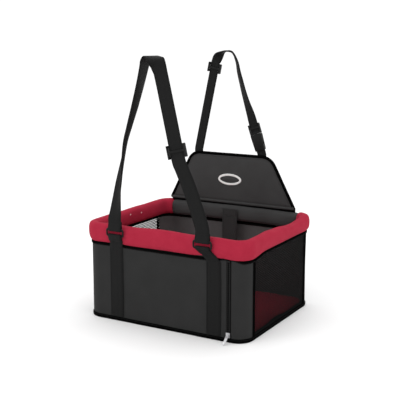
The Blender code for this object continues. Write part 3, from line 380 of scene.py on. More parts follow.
def wall_place(run):
    """The outline's point run metres round from the middle of the front, and its way out."""
    run %= perimeter
    heading = 0.0
    point = Vector((0, -half_y))
    for length, curved in stretches:
        part = min(run, length)
        if curved:
            centre = point + corner_radius * Vector((-math.sin(heading), math.cos(heading)))
            heading += part / corner_radius
            point = centre + corner_radius * Vector((math.sin(heading), -math.cos(heading)))
        else:
            point = point + part * Vector((math.cos(heading), math.sin(heading)))
        run -= part
        if run <= 0:
            break
    return point, Vector((math.sin(heading), -math.cos(heading)))


def spaced(low, high, steps):
    """Evenly spaced values from low to high."""
    return [low + (high - low) * i / steps for i in range(steps + 1)]


def outwards(x, y):
    """How far a point lies outside the outline, and the way straight out from there."""
    qx, qy = abs(x) - straight_x, abs(y) - straight_y
    sx, sy = math.copysign(1, x), math.copysign(1, y)
    if qx > 0 and qy > 0:
        far = math.hypot(qx, qy)
        return far - corner_radius, Vector((sx * qx / far, sy * qy / far))
    if qx > qy:
        return qx - corner_radius, Vector((sx, 0))
    return qy - corner_radius, Vector((0, sy))


print("corner radius in mm:", round(corner_radius / MM, 1))

# %% [markdown]
# ## Helpers for sewn pieces
#
# Cloth forms are skins: rings of points joined one to the next, closed at both ends. A skin keeps
# a map in metres, so a weave follows the cloth round a corner. When a piece is ready it is dressed:
# it gets its finish, it rides on a CAD body, and the CAD nodes that it stands for are hidden.

# %% Skins and dressing
def placed(name, mesh):
    """A new object in the scene with this mesh."""
    piece = bpy.data.objects.new(name, mesh)
    bpy.context.scene.collection.objects.link(piece)
    return piece


def new_piece(name, bm):
    mesh = bpy.data.meshes.new(name)
    bm.to_mesh(mesh)
    bm.free()
    return placed(name, mesh)


def skin(name, rings, across, closed=False):
    """A closed cloth form through rings of points, mapped across each ring and along the rings."""
    bm = bmesh.new()
    cloth = bm.loops.layers.uv.new("cloth")
    rows = [[bm.verts.new(point) for point in ring] for ring in rings]
    middles = [sum(ring, Vector()) / len(ring) for ring in rings]
    along = [0.0]
    for before, after in zip(middles, middles[1:] + middles[:1]):
        along.append(along[-1] + (after - before).length)
    spans = len(rings) if closed else len(rings) - 1
    for i in range(spans):
        for j in range(len(rings[0])):
            corners = ((i, j), (i, j + 1), (i + 1, j + 1), (i + 1, j))
            face = bm.faces.new([rows[a % len(rows)][b % len(rings[0])] for a, b in corners])
            for loop, (a, b) in zip(face.loops, corners):
                loop[cloth].uv = (across[b], along[a])
    if not closed:
        bm.faces.new(rows[0])
        bm.faces.new(rows[-1])
    bmesh.ops.recalc_face_normals(bm, faces=bm.faces[:])
    return new_piece(name, bm)


def select_only(piece):
    bpy.ops.object.select_all(action="DESELECT")
    piece.select_set(True)
    bpy.context.view_layer.objects.active = piece


def apply_modifier(piece, kind, **settings):
    """Adds a modifier with its settings and applies it at once."""
    modifier = piece.modifiers.new(kind.lower(), kind)
    for key, value in settings.items():
        setattr(modifier, key, value)
    select_only(piece)
    bpy.ops.object.modifier_apply(modifier=modifier.name)


def dress(piece, finish, body, slot, *nodes, smooth_angle=50):
    """Finishes a piece and lets it ride on a body, if one is given, in place of some CAD nodes."""
    piece.data.materials.clear()
    piece.data.materials.append(finish)
    select_only(piece)
    bpy.ops.object.shade_smooth_by_angle(angle=math.radians(smooth_angle))
    if body:
        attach(piece, body)
    if nodes:
        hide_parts(*nodes)
    return piece


def surface_area(piece):
    return sum(face.area for face in piece.data.polygons)


facing_in = -0.3


def line_inside(piece, finish):
    """Gives the faces that look into the box a second finish."""
    piece.data.materials.append(finish)
    for face in piece.data.polygons:
        _, out = outwards(face.center.x, face.center.y)
        if face.normal.x * out.x + face.normal.y * out.y < facing_in:
            face.material_index = 1


# %% [markdown]
# ## Cloth walls
#
# The front, the back and the corners are three sheets of stiffened cloth. A flat box would look like
# card, so the cloth gives: it sags a little between its seams, and it puckers where tape gathers its
# edges. The zipper parts the front from its right corner. The cloth ends inside the rim's sleeve, to
# which it is sewn.

# %% Walls
wall_tuck = 2.5 * MM
wall_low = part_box("front_panel")[0].z
wall_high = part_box("front_panel")[1].z + wall_tuck
wall_thickness = 2.2 * MM
wall_sag = 1.3 * MM
sway_wide, sway_tall = 0.09, 0.11
pucker_depth = 0.45 * MM
pucker_length = 17 * MM
pucker_reach = 14 * MM
wall_rows = 22
wall_step = 6 * MM


def wall_give(run, height, start, end):
    """How far the cloth stands inwards of its outline."""
    up = (height - wall_low) / (wall_high - wall_low)
    near_end = min(min(run - start, end - run) / pucker_reach, 1)
    sway = 0.65 + 0.7 * noise.noise(Vector((run / sway_wide, height / sway_tall, 3.1)))
    sag = wall_sag * math.sin(math.pi * up) ** 0.8 * sway * (0.3 + 0.7 * near_end)
    edge = min(height - wall_low, wall_high - height)
    fade = math.exp(-edge / pucker_reach)
    pucker = pucker_depth * fade * (1 + math.sin(2 * math.pi * run / pucker_length + 2 * sway))
    return sag + pucker


def wall_sheet(name, start, end, *nodes):
    steps = round((end - start) / wall_step)
    heights = spaced(wall_low, wall_high, wall_rows)
    rings = []
    for run in spaced(start, end, steps):
        point, out = wall_place(run)
        gives = [wall_give(run, height, start, end) for height in heights]
        ring = [(point - out * give, z) for give, z in zip(gives, heights)]
        ring += [
            (point - out * (give + wall_thickness), z)
            for give, z in reversed(list(zip(gives, heights)))
        ]
        rings.append([Vector((*place, z)) for place, z in ring])
    tall = wall_high - wall_low
    across = [height - wall_low for height in heights]
    across += [2 * tall - value for value in reversed(across)] + [2 * tall]
    piece = skin(name, rings, across)
    dress(piece, oxford_cloth, "carrier", "oxford_cloth", *nodes)
    # The faces inside get the lining, whose lightness is partly painted light.
    line_inside(piece, lining_cloth)


window_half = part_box("mesh_window_right")[1].y
right_window_start = side_start + straight_y - window_half
right_window_end = side_end - straight_y + window_half
left_window_start = perimeter - right_window_end
left_window_end = perimeter - right_window_start
wall_sheet(
    "front_wall_cloth", left_window_end - perimeter, zipper_left_edge,
    "front_panel", "corner_front_left",
)
wall_sheet("zip_corner_cloth", zipper_right_edge, right_window_start, "corner_front_right")
wall_sheet(
    "back_wall_cloth", right_window_end, left_window_start,
    "back_panel", "corner_back_right", "corner_back_left",
)
print("walls from", round(wall_low / MM, 1), "to", round(wall_high / MM, 1), "mm")

# %% [markdown]
# ## Net windows
#
# Each side has a net with six-sided holes, as a knitting machine makes it. Real holes let light and
# the view through at every angle, which a see-through flat colour can't do. A hexagon is inset and
# emptied for each hole, and the cells at the edge are cut off straight with bisect.

# %% Net windows
cell_width = 4.8 * MM
net_bar = 1.65 * MM
net_thickness = 0.8 * MM
net_sag = 1.6 * MM


def honeycomb(width, height):
    """A flat sheet of hexagonal rings in the XZ plane, from the origin."""
    bm = bmesh.new()
    corners = {}
    side = cell_width / math.sqrt(3)
    cells = []
    for row in range(-1, math.ceil(height / (1.5 * side)) + 1):
        for column in range(-1, math.ceil(width / cell_width) + 1):
            x = (column + 0.5 * (row % 2)) * cell_width
            z = row * 1.5 * side
            ring = []
            for i in range(6):
                angle = math.radians(60 * i + 30)
                corner = (x + side * math.cos(angle), z + side * math.sin(angle))
                key = tuple(round(value / MM, 2) for value in corner)
                if key not in corners:
                    corners[key] = bm.verts.new((key[0] * MM, 0, key[1] * MM))
                ring.append(corners[key])
            cells.append(bm.faces.new(ring))
    bm.normal_update()
    bmesh.ops.inset_individual(bm, faces=cells, thickness=net_bar / 2, use_even_offset=True)
    bmesh.ops.delete(bm, geom=cells, context="FACES")
    sides = (
        ((0, 0, 0), (-1, 0, 0)), ((width, 0, 0), (1, 0, 0)),
        ((0, 0, 0), (0, 0, -1)), ((0, 0, height), (0, 0, 1)),
    )
    for place, way in sides:
        everything = bm.verts[:] + bm.edges[:] + bm.faces[:]
        bmesh.ops.bisect_plane(
            bm, geom=everything, plane_co=place, plane_no=way, clear_outer=True,
        )
    return bm


def net_window(name, side, node):
    low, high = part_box(node)
    length, tall = high.y - low.y, high.z - low.z
    bm = honeycomb(length, tall)
    for vertex in bm.verts:
        along, up = vertex.co.x / length, vertex.co.z / tall
        give = net_sag * math.sin(math.pi * along) * math.sin(math.pi * up)
        give *= 0.7 + 0.6 * noise.noise(Vector((along * 2.3, up * 1.7, side)))
        x = side * (half_x - net_thickness / 2 - give)
        vertex.co = (x, low.y + vertex.co.x, low.z + vertex.co.z)
    piece = new_piece(name, bm)
    open_share = 1 - surface_area(piece) / length / tall
    apply_modifier(piece, "SOLIDIFY", thickness=net_thickness, offset=0)
    dress(piece, net_yarn, "carrier", "net", node, smooth_angle=30)
    print(name, "faces:", len(piece.data.polygons), "open share:", round(open_share, 2))


net_window("net_window_left", -1, "mesh_window_left")
net_window("net_window_right", 1, "mesh_window_right")

# %% [markdown]
# ## Ribbons in the CAD model
#
# The CAD straps already pass through each ring and slot. Each is a chain of four-cornered stations,
# so the stations are read back from the node's mesh, starting from an end and walking neighbour to
# neighbour. The two bands on the front wall come first, because the rim's sewn edge and its tape
# pass behind them.

# %% Reading a ribbon's stations
def ribbon_stations(node):
    """(centre, width vector, thickness vector) at each station of a CAD ribbon, from end to end."""
    bm = bmesh.new()
    bm.from_mesh(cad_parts[node].data)
    bmesh.ops.remove_doubles(bm, verts=bm.verts, dist=1e-6)
    bm.verts.index_update()
    beside = {v.index: {e.other_vert(v).index for e in v.link_edges} for v in bm.verts}
    places = [v.co.copy() for v in bm.verts]
    bm.free()
    reached = [0]
    for i in reached:
        reached += sorted(n for n in beside[i] if n not in reached)
    end = reached[-1]
    near = set().union(*(beside[n] for n in beside[end])) | beside[end]
    near = sorted(near - {end})

    def loose_ends(group):
        return len(set().union(*(beside[n] for n in group)) - set(group))

    ring = min(itertools.combinations(near, 3), key=lambda three: loose_ends((end, *three)))
    ring = sorted(ring, key=lambda n: (places[n] - places[end]).length)
    rings = [[end, ring[0], ring[2], ring[1]]]
    used = set(rings[0])
    while len(used) < len(places):
        ahead = sorted(set().union(*(beside[n] for n in rings[-1])) - used)
        last = rings[-1]
        rings.append(list(min(
            itertools.permutations(ahead),
            key=lambda four: sum((places[a] - places[b]).length for a, b in zip(four, last)),
        )))
        used |= set(ahead)
    stations = []
    for a, b, c, d in rings:
        a, b, c, d = places[a], places[b], places[c], places[d]
        stations.append(((a + b + c + d) / 4, (c + d - a - b) / 2, (b + c - a - d) / 2))
    return stations


# %% The face of a band that the rim lies against
band_top = 203 * MM
band_room = 0.35 * MM
band_fade = 6 * MM
band_lines = []
for side in ("left", "right"):
    stations = ribbon_stations(f"front_band_{side}")
    if stations[0][0].z > stations[-1][0].z:
        stations = stations[::-1]
    top = next(i for i, station in enumerate(stations) if station[0].z > band_top)
    band_lines.append(stations[:top + 1])
band_half = band_lines[0][0][1].length / 2


def band_hold(x, z):
    """The Y that a point may not pass, and how firmly a band holds it there, from 0 to 1."""
    for line in band_lines:
        for (a, _, thick), (b, _, _) in zip(line, line[1:]):
            if a.z <= z <= b.z:
                middle = a.lerp(b, (z - a.z) / (b.z - a.z))
                away = abs(x - middle.x) - band_half
                if away < band_fade:
                    limit = middle.y + thick.length / 2 + band_room
                    return limit, 1 - min(max(away / band_fade, 0), 1) ** 2
    return 0.0, 0.0


print("stations in the left band:", len(band_lines[0]), "width in mm:", round(2 * band_half / MM))

# %% [markdown]
# ## Binding tapes
#
# Every raw edge is covered with tape. A tape is a thin rounded bar that follows the outline, and it
# wavers a little, as a sewer's hand does. The map runs along it, so that the ribs go across.

# %% How the sleeve and its tape hang in front
hang_depth = 6.5 * MM
hang_fade = 70 * MM
slider_near, slider_far = 10 * MM, 34 * MM


def eased_share(value, low, high):
    """0 below low, 1 above high and a soft curve between."""
    share = min(max((value - low) / (high - low), 0), 1)
    return share * share * (3 - 2 * share)


def rim_hang(y):
    """How much lower the sleeve's sewn edge hangs: fully in front, fading along the sides."""
    return hang_depth * eased_share(-y, straight_y - hang_fade, straight_y)


zip_low, zip_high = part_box("zipper_tape_left")[0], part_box("zipper_tape_right")[1]
zip_place = Vector(((zip_low.x + zip_high.x) / 2, -half_y))


def tape_hang(x, y):
    """The tape follows the edge, but stays up behind it where the zipper's slider has to pass."""
    away = (Vector((x, y)) - zip_place).length
    return rim_hang(y) * eased_share(away, slider_near, slider_far)


# %% Tapes round the body
tape_waver = 0.35 * MM
waver_length = 0.03
tape_step = 5 * MM
top_tape_level = 179 * MM
facing_front = -0.9


def tape_section(low, high, inner, outer):
    """A rounded cross-section as (outward, up) points."""
    soft = (outer - inner) * 0.45
    return [
        (inner, low + soft), (inner, high - soft), (inner + soft, high), (outer - soft, high),
        (outer, high - 2 * soft), (outer, low + 2 * soft), (outer - soft, low), (inner + soft, low),
    ]


def section_lengths(section):
    """The distance round a section to each of its points, and all the way round."""
    made = [0.0]
    for a, b in zip(section, section[1:] + section[:1]):
        made.append(made[-1] + math.dist(a, b))
    return made


def tape_ring(name, node, outward_low, outward_high, tuck=0, hangs=False):
    """Tape all round the body at a CAD node's height, between two distances from the outline."""
    low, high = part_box(node)
    high.z += tuck
    section = tape_section(low.z, high.z, outward_low, outward_high)
    steps = round(perimeter / tape_step)
    rings = []
    for i in range(steps):
        run = perimeter * i / steps
        point, out = wall_place(run)
        shift = tape_waver * noise.noise(Vector((*(point / waver_length), low.z * 90)))
        shift -= tape_hang(*point) if hangs else 0
        held = band_hold(point.x, top_tape_level)[1] if hangs and out.y < facing_front else 0
        point = point - out * (outward_high - band_room) * held
        rings.append([Vector((*(point + out * away), z + shift)) for away, z in section])
    piece = skin(name, rings, section_lengths(section), closed=True)
    return dress(piece, binding_tape, "carrier", "binding", node)


tape_thickness = 1.2 * MM
tape_gap = 0.3 * MM
tape_ring("bottom_tape", "bottom_binding", -0.2 * MM, tape_gap + tape_thickness)
tape_ring("top_tape", "top_binding", -0.2 * MM, tape_gap + tape_thickness, wall_tuck, True)
inner_low, inner_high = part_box("inner_binding")
inner_face = inner_high.x - half_x
tape_ring("inner_tape", "inner_binding", inner_face - tape_thickness, inner_face)

# %% Tapes up the windows and along the zipper
def upright_tape(name, node, waver=tape_waver):
    """A short tape in the space of an upright CAD node."""
    low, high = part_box(node)
    flat_way = 0 if high.x - low.x < high.y - low.y else 1
    inner, outer = low[flat_way], high[flat_way]
    near, far = low[1 - flat_way], high[1 - flat_way]
    section = tape_section(near, far, inner, outer)
    steps = round((high.z - low.z) / tape_step)
    rings = []
    for z in spaced(low.z, high.z, steps):
        shift = waver * noise.noise(Vector((near * 40, inner * 40, z / waver_length)))
        ring = []
        for thin, wide in section:
            place = [0, 0, z]
            place[flat_way], place[1 - flat_way] = thin, wide + shift
            ring.append(Vector(place))
        rings.append(ring)
    piece = skin(name, rings, section_lengths(section))
    return dress(piece, binding_tape, "carrier", "binding", node)


for side in ("left", "right"):
    for end in ("front", "back"):
        upright_tape(f"window_tape_{side}_{end}", f"window_binding_{side}_{end}")
    upright_tape(f"zip_tape_{side}", f"zipper_tape_{side}", waver=0)

# %% [markdown]
# ## The padded rim
#
# The rim is a plush sleeve filled with foam round a tube. Padded fabric looks right when air has
# blown it up: it is full between its seams and gathers where it is held. So a slim sleeve is swept
# along the outline and remeshed evenly, and Blender's cloth simulation fills it. Points near the
# sewn underside are held. Afterwards no point may leave the space that the CAD rim holds.

# %% Puffing a padded form
simulated_frames = 20
wrinkle_passes = 24
puff_voxel = 5 * MM
puff_pressure = 4.0


def evened(piece, moves, passes):
    """Moves averaged with those of their neighbours, which takes out small wrinkles."""
    joins = [tuple(edge.vertices) for edge in piece.data.edges]
    for _ in range(passes):
        sums, counts = [move.copy() for move in moves], [1] * len(moves)
        for a, b in joins:
            sums[a] += moves[b]
            sums[b] += moves[a]
            counts[a] += 1
            counts[b] += 1
        moves = [total / count for total, count in zip(sums, counts)]
    return moves


def puff(piece, growth, cap, held, allowed):
    """Fills a form with air, moving no point further than cap or out of its allowed space."""
    apply_modifier(piece, "REMESH", mode="VOXEL", voxel_size=puff_voxel)
    rest = [vertex.co.copy() for vertex in piece.data.vertices]
    sewn = piece.vertex_groups.new(name="sewn")
    sewn.add([i for i, place in enumerate(rest) if held(place)], 1.0, "REPLACE")
    cloth = piece.modifiers.new("filling", "CLOTH")
    cloth.settings.use_pressure = True
    cloth.settings.uniform_pressure_force = puff_pressure
    cloth.settings.shrink_min = -growth
    cloth.settings.vertex_group_mass = sewn.name
    cloth.settings.effector_weights.gravity = 0
    for number in range(1, simulated_frames + 1):
        bpy.context.scene.frame_set(number)
    select_only(piece)
    bpy.ops.object.modifier_apply(modifier=cloth.name)
    bpy.context.scene.frame_set(1)
    piece.vertex_groups.clear()
    moves = [vertex.co - place for vertex, place in zip(piece.data.vertices, rest)]
    moves = evened(piece, moves, wrinkle_passes)
    for vertex, place, move in zip(piece.data.vertices, rest, moves):
        vertex.co = place + move * min(1, cap / max(move.length, 1e-9))
    apply_modifier(piece, "SUBSURF", levels=1)
    for vertex in piece.data.vertices:
        vertex.co = allowed(vertex.co)


# %% Rim and back sleeve
rim_low, rim_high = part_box("rim_sleeve_red")
rim_middle = (rim_low.z + rim_high.z) / 2
rim_half_height = (rim_high.z - rim_low.z) / 2
rim_half_width = (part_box("rim_sleeve_black")[1].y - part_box("rim_sleeve_black")[0].y) / 2
rim_inset = half_x + rim_half_width - rim_high.x
rim_roundness = 2.6
rim_points = 28
rim_slimness = 0.975
rim_step = 9 * MM
dip_front, dip_back = -60 * MM, 152 * MM
dip_depth = 9 * MM
dip_inner = straight_x - 10 * MM
sewn_height = 3.5 * MM
band_pinch = 0.06
band_pinch_reach = 30 * MM


def rim_draw(x, y):
    """The share by which webbing draws the rim in near a point."""
    middles = [line[-1][0].x for line in band_lines]
    near = min([math.hypot(x - middle, y + half_y) / band_pinch_reach for middle in middles] + [1])
    return band_pinch * (1 - near) ** 2 * (1 + 2 * near)


def in_rim(place):
    """The nearest place inside the space of the CAD rim."""
    away, out = outwards(place.x, place.y)
    size = 1 - rim_draw(place.x, place.y)
    across, up = away + rim_inset, place.z - rim_middle
    full = (abs(across) / rim_half_width / size) ** rim_roundness
    full += (abs(up) / rim_half_height / size) ** rim_roundness
    if full <= 1:
        return place
    share = full ** (-1 / rim_roundness)
    move = across * share - across
    return Vector((place.x + out.x * move, place.y + out.y * move, rim_middle + up * share))


def side_dip(y):
    """How far the top of the right roll sinks between its stiff corners, most at the back."""
    if not dip_front < y < dip_back:
        return 0.0
    share = (y - dip_front) / (dip_back - dip_front)
    return dip_depth * math.sin(math.pi * share ** 1.6) ** 1.2


def settle(place):
    """A rim point after the right roll's top has sunk and the sewn edge has dropped in front."""
    place = in_rim(place)
    up = (place.z - rim_middle) / rim_half_height
    if place.x > dip_inner and up > 0:
        place = place - Vector((0, 0, side_dip(place.y) * up))
    if up < 0:
        place = place + Vector((0, 0, rim_hang(place.y) * up))
    limit, hold = band_hold(place.x, place.z)
    if hold and place.y < limit:
        place = Vector((place.x, place.y + (limit - place.y) * hold, place.z))
    return place


def rim_ring(run, slim):
    """The rim's outline at a place on the body's outline, as points in space."""
    point, out = wall_place(run)
    middle = point - out * rim_inset
    size = slim * (1 - rim_draw(*middle))
    ring = []
    for i in range(rim_points):
        angle = 2 * math.pi * i / rim_points
        c, s = math.cos(angle), math.sin(angle)
        across = math.copysign(rim_half_width * size * abs(c) ** (2 / rim_roundness), c)
        up = math.copysign(rim_half_height * size * abs(s) ** (2 / rim_roundness), s)
        ring.append(Vector((*(middle + out * across), rim_middle + up)))
    return ring


def sewn_underneath(place):
    return place.z < rim_low.z + sewn_height


def padded_sleeve(name, start, end, finish, slot, node, slim=rim_slimness):
    steps = round((end - start) / rim_step)
    rings = [rim_ring(run, slim) for run in spaced(start, end, steps)]
    piece = skin(name, rings, [0] * (rim_points + 1))
    puff(piece, growth=0.05, cap=3 * MM, held=sewn_underneath, allowed=settle)
    dress(piece, finish, "carrier", slot, node, smooth_angle=180)
    return piece


sleeve_tuck = 5 * MM
padded_sleeve(
    "plush_rim", -back_corner, back_corner, red_plush, "red_plush", "rim_sleeve_red",
)
padded_sleeve(
    "back_rim_sleeve", back_corner - sleeve_tuck, perimeter - back_corner + sleeve_tuck,
    flap_cloth, "lining_cloth", "rim_sleeve_black", rim_slimness - 0.015,
)

# %% [markdown]
# ## Cushions: the mat and the backrest flap
#
# A cushion is highest in its middle and drawn in at its seam. Loops of its outline are set inside
# each other, each at its own height, above and below. The flap is thin foam between two layers of
# cloth and keeps that shape. The mat is also puffed.

# %% A crowned cushion
def rounded_outline(corners, steps=8):
    """A closed outline with each corner (x, y, radius) rounded by an arc."""
    made = []
    for i, (x, y, radius) in enumerate(corners):
        here = Vector((x, y))
        to_last = (Vector(corners[i - 1][:2]) - here).normalized()
        to_next = (Vector(corners[(i + 1) % len(corners)][:2]) - here).normalized()
        half = to_last.angle(to_next) / 2
        centre = here + (to_last + to_next).normalized() * radius / math.sin(half)
        first = here + to_last * radius / math.tan(half) - centre
        last = here + to_next * radius / math.tan(half) - centre
        turn = first.angle_signed(last)
        for k in range(steps + 1):
            angle = -turn * k / steps
            c, s = math.cos(angle), math.sin(angle)
            made.append(centre + Vector((first.x * c - first.y * s, first.x * s + first.y * c)))
    return made


def even_outline(outline, step):
    """The same closed outline with points about step apart."""
    made = []
    for a, b in zip(outline, outline[1:] + outline[:1]):
        count = max(1, round((b - a).length / step))
        made += [a.lerp(b, i / count) for i in range(count)]
    return made


def box_outline(low, high, radius, step):
    """An even outline of a rectangle with rounded corners, between two opposite corners."""
    corners = ((low.x, low.y), (high.x, low.y), (high.x, high.y), (low.x, high.y))
    return even_outline(rounded_outline([(x, y, radius) for x, y in corners]), step)


def cushion(name, outline, middle, height_at, place_at):
    """Loops of an outline, shrunk towards its middle, above and below, with their heights."""
    bm = bmesh.new()
    shares = (0.99, 0.97, 0.94, 0.88, 0.8, 0.7, 0.58, 0.45, 0.3, 0.15)
    edge = [bm.verts.new(place_at(point, 0)) for point in outline]
    for side in (1, -1):
        before = edge
        for share in shares:
            loop = []
            for point in outline:
                here = middle + (point - middle) * share
                loop.append(bm.verts.new(place_at(here, side * height_at(here, share))))
            for j in range(len(outline)):
                k = (j + 1) % len(outline)
                bm.faces.new((before[j], before[k], loop[k], loop[j]))
            before = loop
        pole = bm.verts.new(place_at(middle, side * height_at(middle, 0)))
        for j in range(len(outline)):
            bm.faces.new((before[j], before[(j + 1) % len(outline)], pole))
    bmesh.ops.recalc_face_normals(bm, faces=bm.faces[:])
    return new_piece(name, bm)


# %% Backrest flap
flap_low, flap_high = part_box("backrest_panel")
fold_y = (flap_low.y + flap_high.y) / 2
flap_half = (flap_high.y - flap_low.y) / 2
binding_low, binding_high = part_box("backrest_binding")
binding_radius = (binding_high.y - binding_low.y) / 2
flap_taper = 70 * MM
flap_shoulder = 38 * MM
flap_foot = 5 * MM
flap_left_foot, flap_left_head = 17 * MM, 19 * MM
flap_right_shoulder = 42 * MM
sharpest = 1 * MM


def flap_outline(inset):
    """The flap's outline in X and Z, moved inwards from the outside of its binding."""
    half_low = binding_high.x
    lean = math.atan2(flap_taper, binding_high.z - binding_low.z)
    shift = (inset * (1 - math.sin(lean))) / math.cos(lean)
    low, high = binding_low.z + inset, binding_high.z - inset
    half_high = half_low - flap_taper
    edge = inset / math.cos(lean)
    foot = half_low - edge - inset * math.tan(lean)
    head = half_high - edge + inset * math.tan(lean)
    foot_radius = max(flap_foot - inset, sharpest)
    return rounded_outline([
        (-foot - flap_left_foot, low, foot_radius), (foot, low, foot_radius),
        (head, high, flap_right_shoulder - inset),
        (-head - flap_left_head, high, flap_shoulder - inset),
    ])


def flap_height(point, share):
    crown = (1 - share ** 6) ** 0.5 if share < 1 else 0
    ripple = 0.12 * noise.noise(Vector((point.x / 0.06, point.y / 0.045, 1.7)))
    return flap_half * min(1.0, 0.28 + (0.66 + ripple) * crown)


def flap_place(point, height):
    return Vector((point.x, fold_y - height, point.y))


flap_step = 4 * MM
binding_lap = 1 * MM
flap_edge = even_outline(flap_outline(2 * binding_radius - binding_lap), flap_step)
flap_middle = Vector((0, (flap_low.z + flap_high.z) / 2))
flap = cushion("backrest_flap", flap_edge, flap_middle, flap_height, flap_place)
apply_modifier(flap, "SUBSURF", levels=1)
dress(flap, flap_cloth, "backrest", "oxford_cloth", "backrest_panel", smooth_angle=180)
print("flap in mm:", [round(side / MM) for side in flap.dimensions])

# %% Binding round the flap
def round_section(radius, count):
    return [
        (radius * math.cos(2 * math.pi * i / count), radius * math.sin(2 * math.pi * i / count))
        for i in range(count)
    ]


binding_points = 12
binding_slim = 0.95
flap_line = even_outline(flap_outline(binding_radius), flap_step)
rings = []
for i, point in enumerate(flap_line):
    ahead = flap_line[(i + 1) % len(flap_line)] - flap_line[i - 1]
    out = Vector((ahead.y, -ahead.x)).normalized()
    full = 1 + 0.05 * noise.noise(Vector((*(point / 0.012), 0.4)))
    rings.append([
        Vector((point.x + out.x * a * full, fold_y + b * full, point.y + out.y * a * full))
        for a, b in round_section(binding_radius * binding_slim, binding_points)
    ])
lengths = spaced(0, 2 * math.pi * binding_radius, binding_points)
flap_binding = skin("flap_binding", rings, lengths, closed=True)
dress(flap_binding, binding_tape, "backrest", "binding", "backrest_binding", smooth_angle=180)
flap_binding.data.materials.append(flap_cloth)
for face in flap_binding.data.polygons:
    x, z = face.center.x, face.center.z
    along_foot = 6 * MM - binding_high.x - flap_left_foot < x < binding_high.x - 6 * MM
    face.material_index = int(along_foot and z < binding_low.z + 2 * binding_radius)

# %% Mat
mat_low, mat_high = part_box("floor_mat")
mat_middle = (mat_low.z + mat_high.z) / 2
mat_ground = mat_low.z + 0.4 * MM
seam_reach, seam_half_height = 4 * MM, 2 * MM


def mat_height(point, share):
    """How far the top lies above the mat's flat foot: low at the sewn edge, then crowned."""
    crown = (1 - share ** 5) ** 0.6 if share < 1 else 0
    dent = 0.08 * noise.noise(Vector((point.x / 0.08, point.y / 0.08, 5.2)))
    return (mat_high.z - mat_low.z) * (0.32 + (0.56 + dent) * crown)


def in_mat(place):
    return Vector((
        min(max(place.x, mat_low.x), mat_high.x), min(max(place.y, mat_low.y), mat_high.y),
        min(max(place.z, mat_low.z), mat_high.z),
    ))


def mat_seam(place):
    at_edge = abs(place.x) > mat_high.x - seam_reach or abs(place.y) > mat_high.y - seam_reach
    return at_edge and abs(place.z - mat_middle) < seam_half_height


mat_radius = corner_radius - (half_x - mat_high.x)
mat_edge = box_outline(mat_low, mat_high, mat_radius, 6 * MM)
mat = cushion(
    "plush_mat", mat_edge, Vector((0, 0)), mat_height,
    lambda point, height: Vector((*point, mat_ground + max(height, 0))),
)
puff(mat, growth=0.03, cap=4 * MM, held=mat_seam, allowed=in_mat)
dress(mat, mat_plush, "carrier", "red_plush", "floor_mat", smooth_angle=180)
print("mat points:", len(mat.data.vertices))

# %% [markdown]
# ## Webbing
#
# A rounder section is swept along the stations of each CAD ribbon with more steps, to keep every
# loop and twist where it is. Webbing under little tension cups across its width, so the loose runs
# are slightly curved and fuller, and only flat where a bar or slider holds them.

# %% More stations on a smooth line
def eased(stations, steps):
    """More stations on a smooth line through the given ones, straight where these are far apart."""
    centres = [station[0] for station in stations]
    gaps = [(b - a).length for a, b in zip(centres, centres[1:])]
    ways = [(b - a).normalized() for a, b in zip(centres, centres[1:])]
    turns = [ways[0]] + [(a + b).normalized() for a, b in zip(ways, ways[1:])] + [ways[-1]]
    made = []
    for i, gap in enumerate(gaps):
        reach = 1.5 * min(gaps[max(i - 1, 0)], gap, gaps[min(i + 1, len(gaps) - 1)])
        reach = min(reach, gap)
        a, b = stations[i], stations[i + 1]
        for k in range(steps):
            t = k / steps
            centre = a[0].lerp(b[0], t * t * (3 - 2 * t))
            centre += (t ** 3 - 2 * t * t + t) * reach * turns[i]
            centre += (t ** 3 - t * t) * reach * turns[i + 1]
            made.append((centre, a[1].lerp(b[1], t), a[2].lerp(b[2], t)))
    return made + [stations[-1]]


# %% Sweeping webbing along them
webbing_slim = 0.985
side_weight = 2.5
ring_reach = 6 * MM
fold_fullness = 1.6 * MM


def webbing_section(width, thickness, cup):
    """(across, out) round a section with half round edges, cupped by some height at its middle."""
    flat = width / 2 - thickness * 0.7
    faces = ((-flat, 0.5), (-flat / 2, 0.47), (0, 0.46), (flat / 2, 0.47), (flat, 0.5))
    front = [(-width / 2, 0), *faces, (width / 2, 0)]
    back = [(across, -out) for across, out in faces[::-1]]
    return [
        (across, out * thickness + cup * (0.4 - (2 * across / width) ** 2))
        for across, out in front + back
    ]


def folded(centre, bars):
    """How much thicker the webbing folds inside a ring's opening, and which way it grows."""
    for y, z, way in bars:
        out = Vector((0, centre.y - y, centre.z - z))
        if out.length < ring_reach:
            return fold_fullness * max(0, out.normalized().z * way), out.normalized()
    return 0.0, Vector()


def webbing(name, node, body, finish, stations=None, slim=0.96, loose=None, bars=()):
    """Webbing along stations, fuller and cupped near a loose (place, reach, fullness, cup)."""
    stations = eased(stations or ribbon_stations(node), 3)
    width = stations[0][1].length * webbing_slim
    thickness = min(station[2].length for station in stations) * slim
    rings = []
    for centre, wide, thick in stations:
        full, cup = 1.0, 0.0
        if loose:
            place, reach, fullness, height = loose
            away = centre - place
            far = Vector((away.x * side_weight, away.z)).length
            share = 1 - eased_share(far, reach / 2, reach)
            full, cup = 1 + (fullness - 1) * share, height * share
        extra, out = folded(centre, bars)
        section = webbing_section(width, thickness * full + extra, cup)
        rings.append([
            centre + out * extra / 2 + wide.normalized() * a + thick.normalized() * b
            for a, b in section
        ])
    values = [a + width / 2 for a, _ in section] + [0]
    piece = skin(name, rings, values)
    return dress(piece, finish, body, "webbing", node)


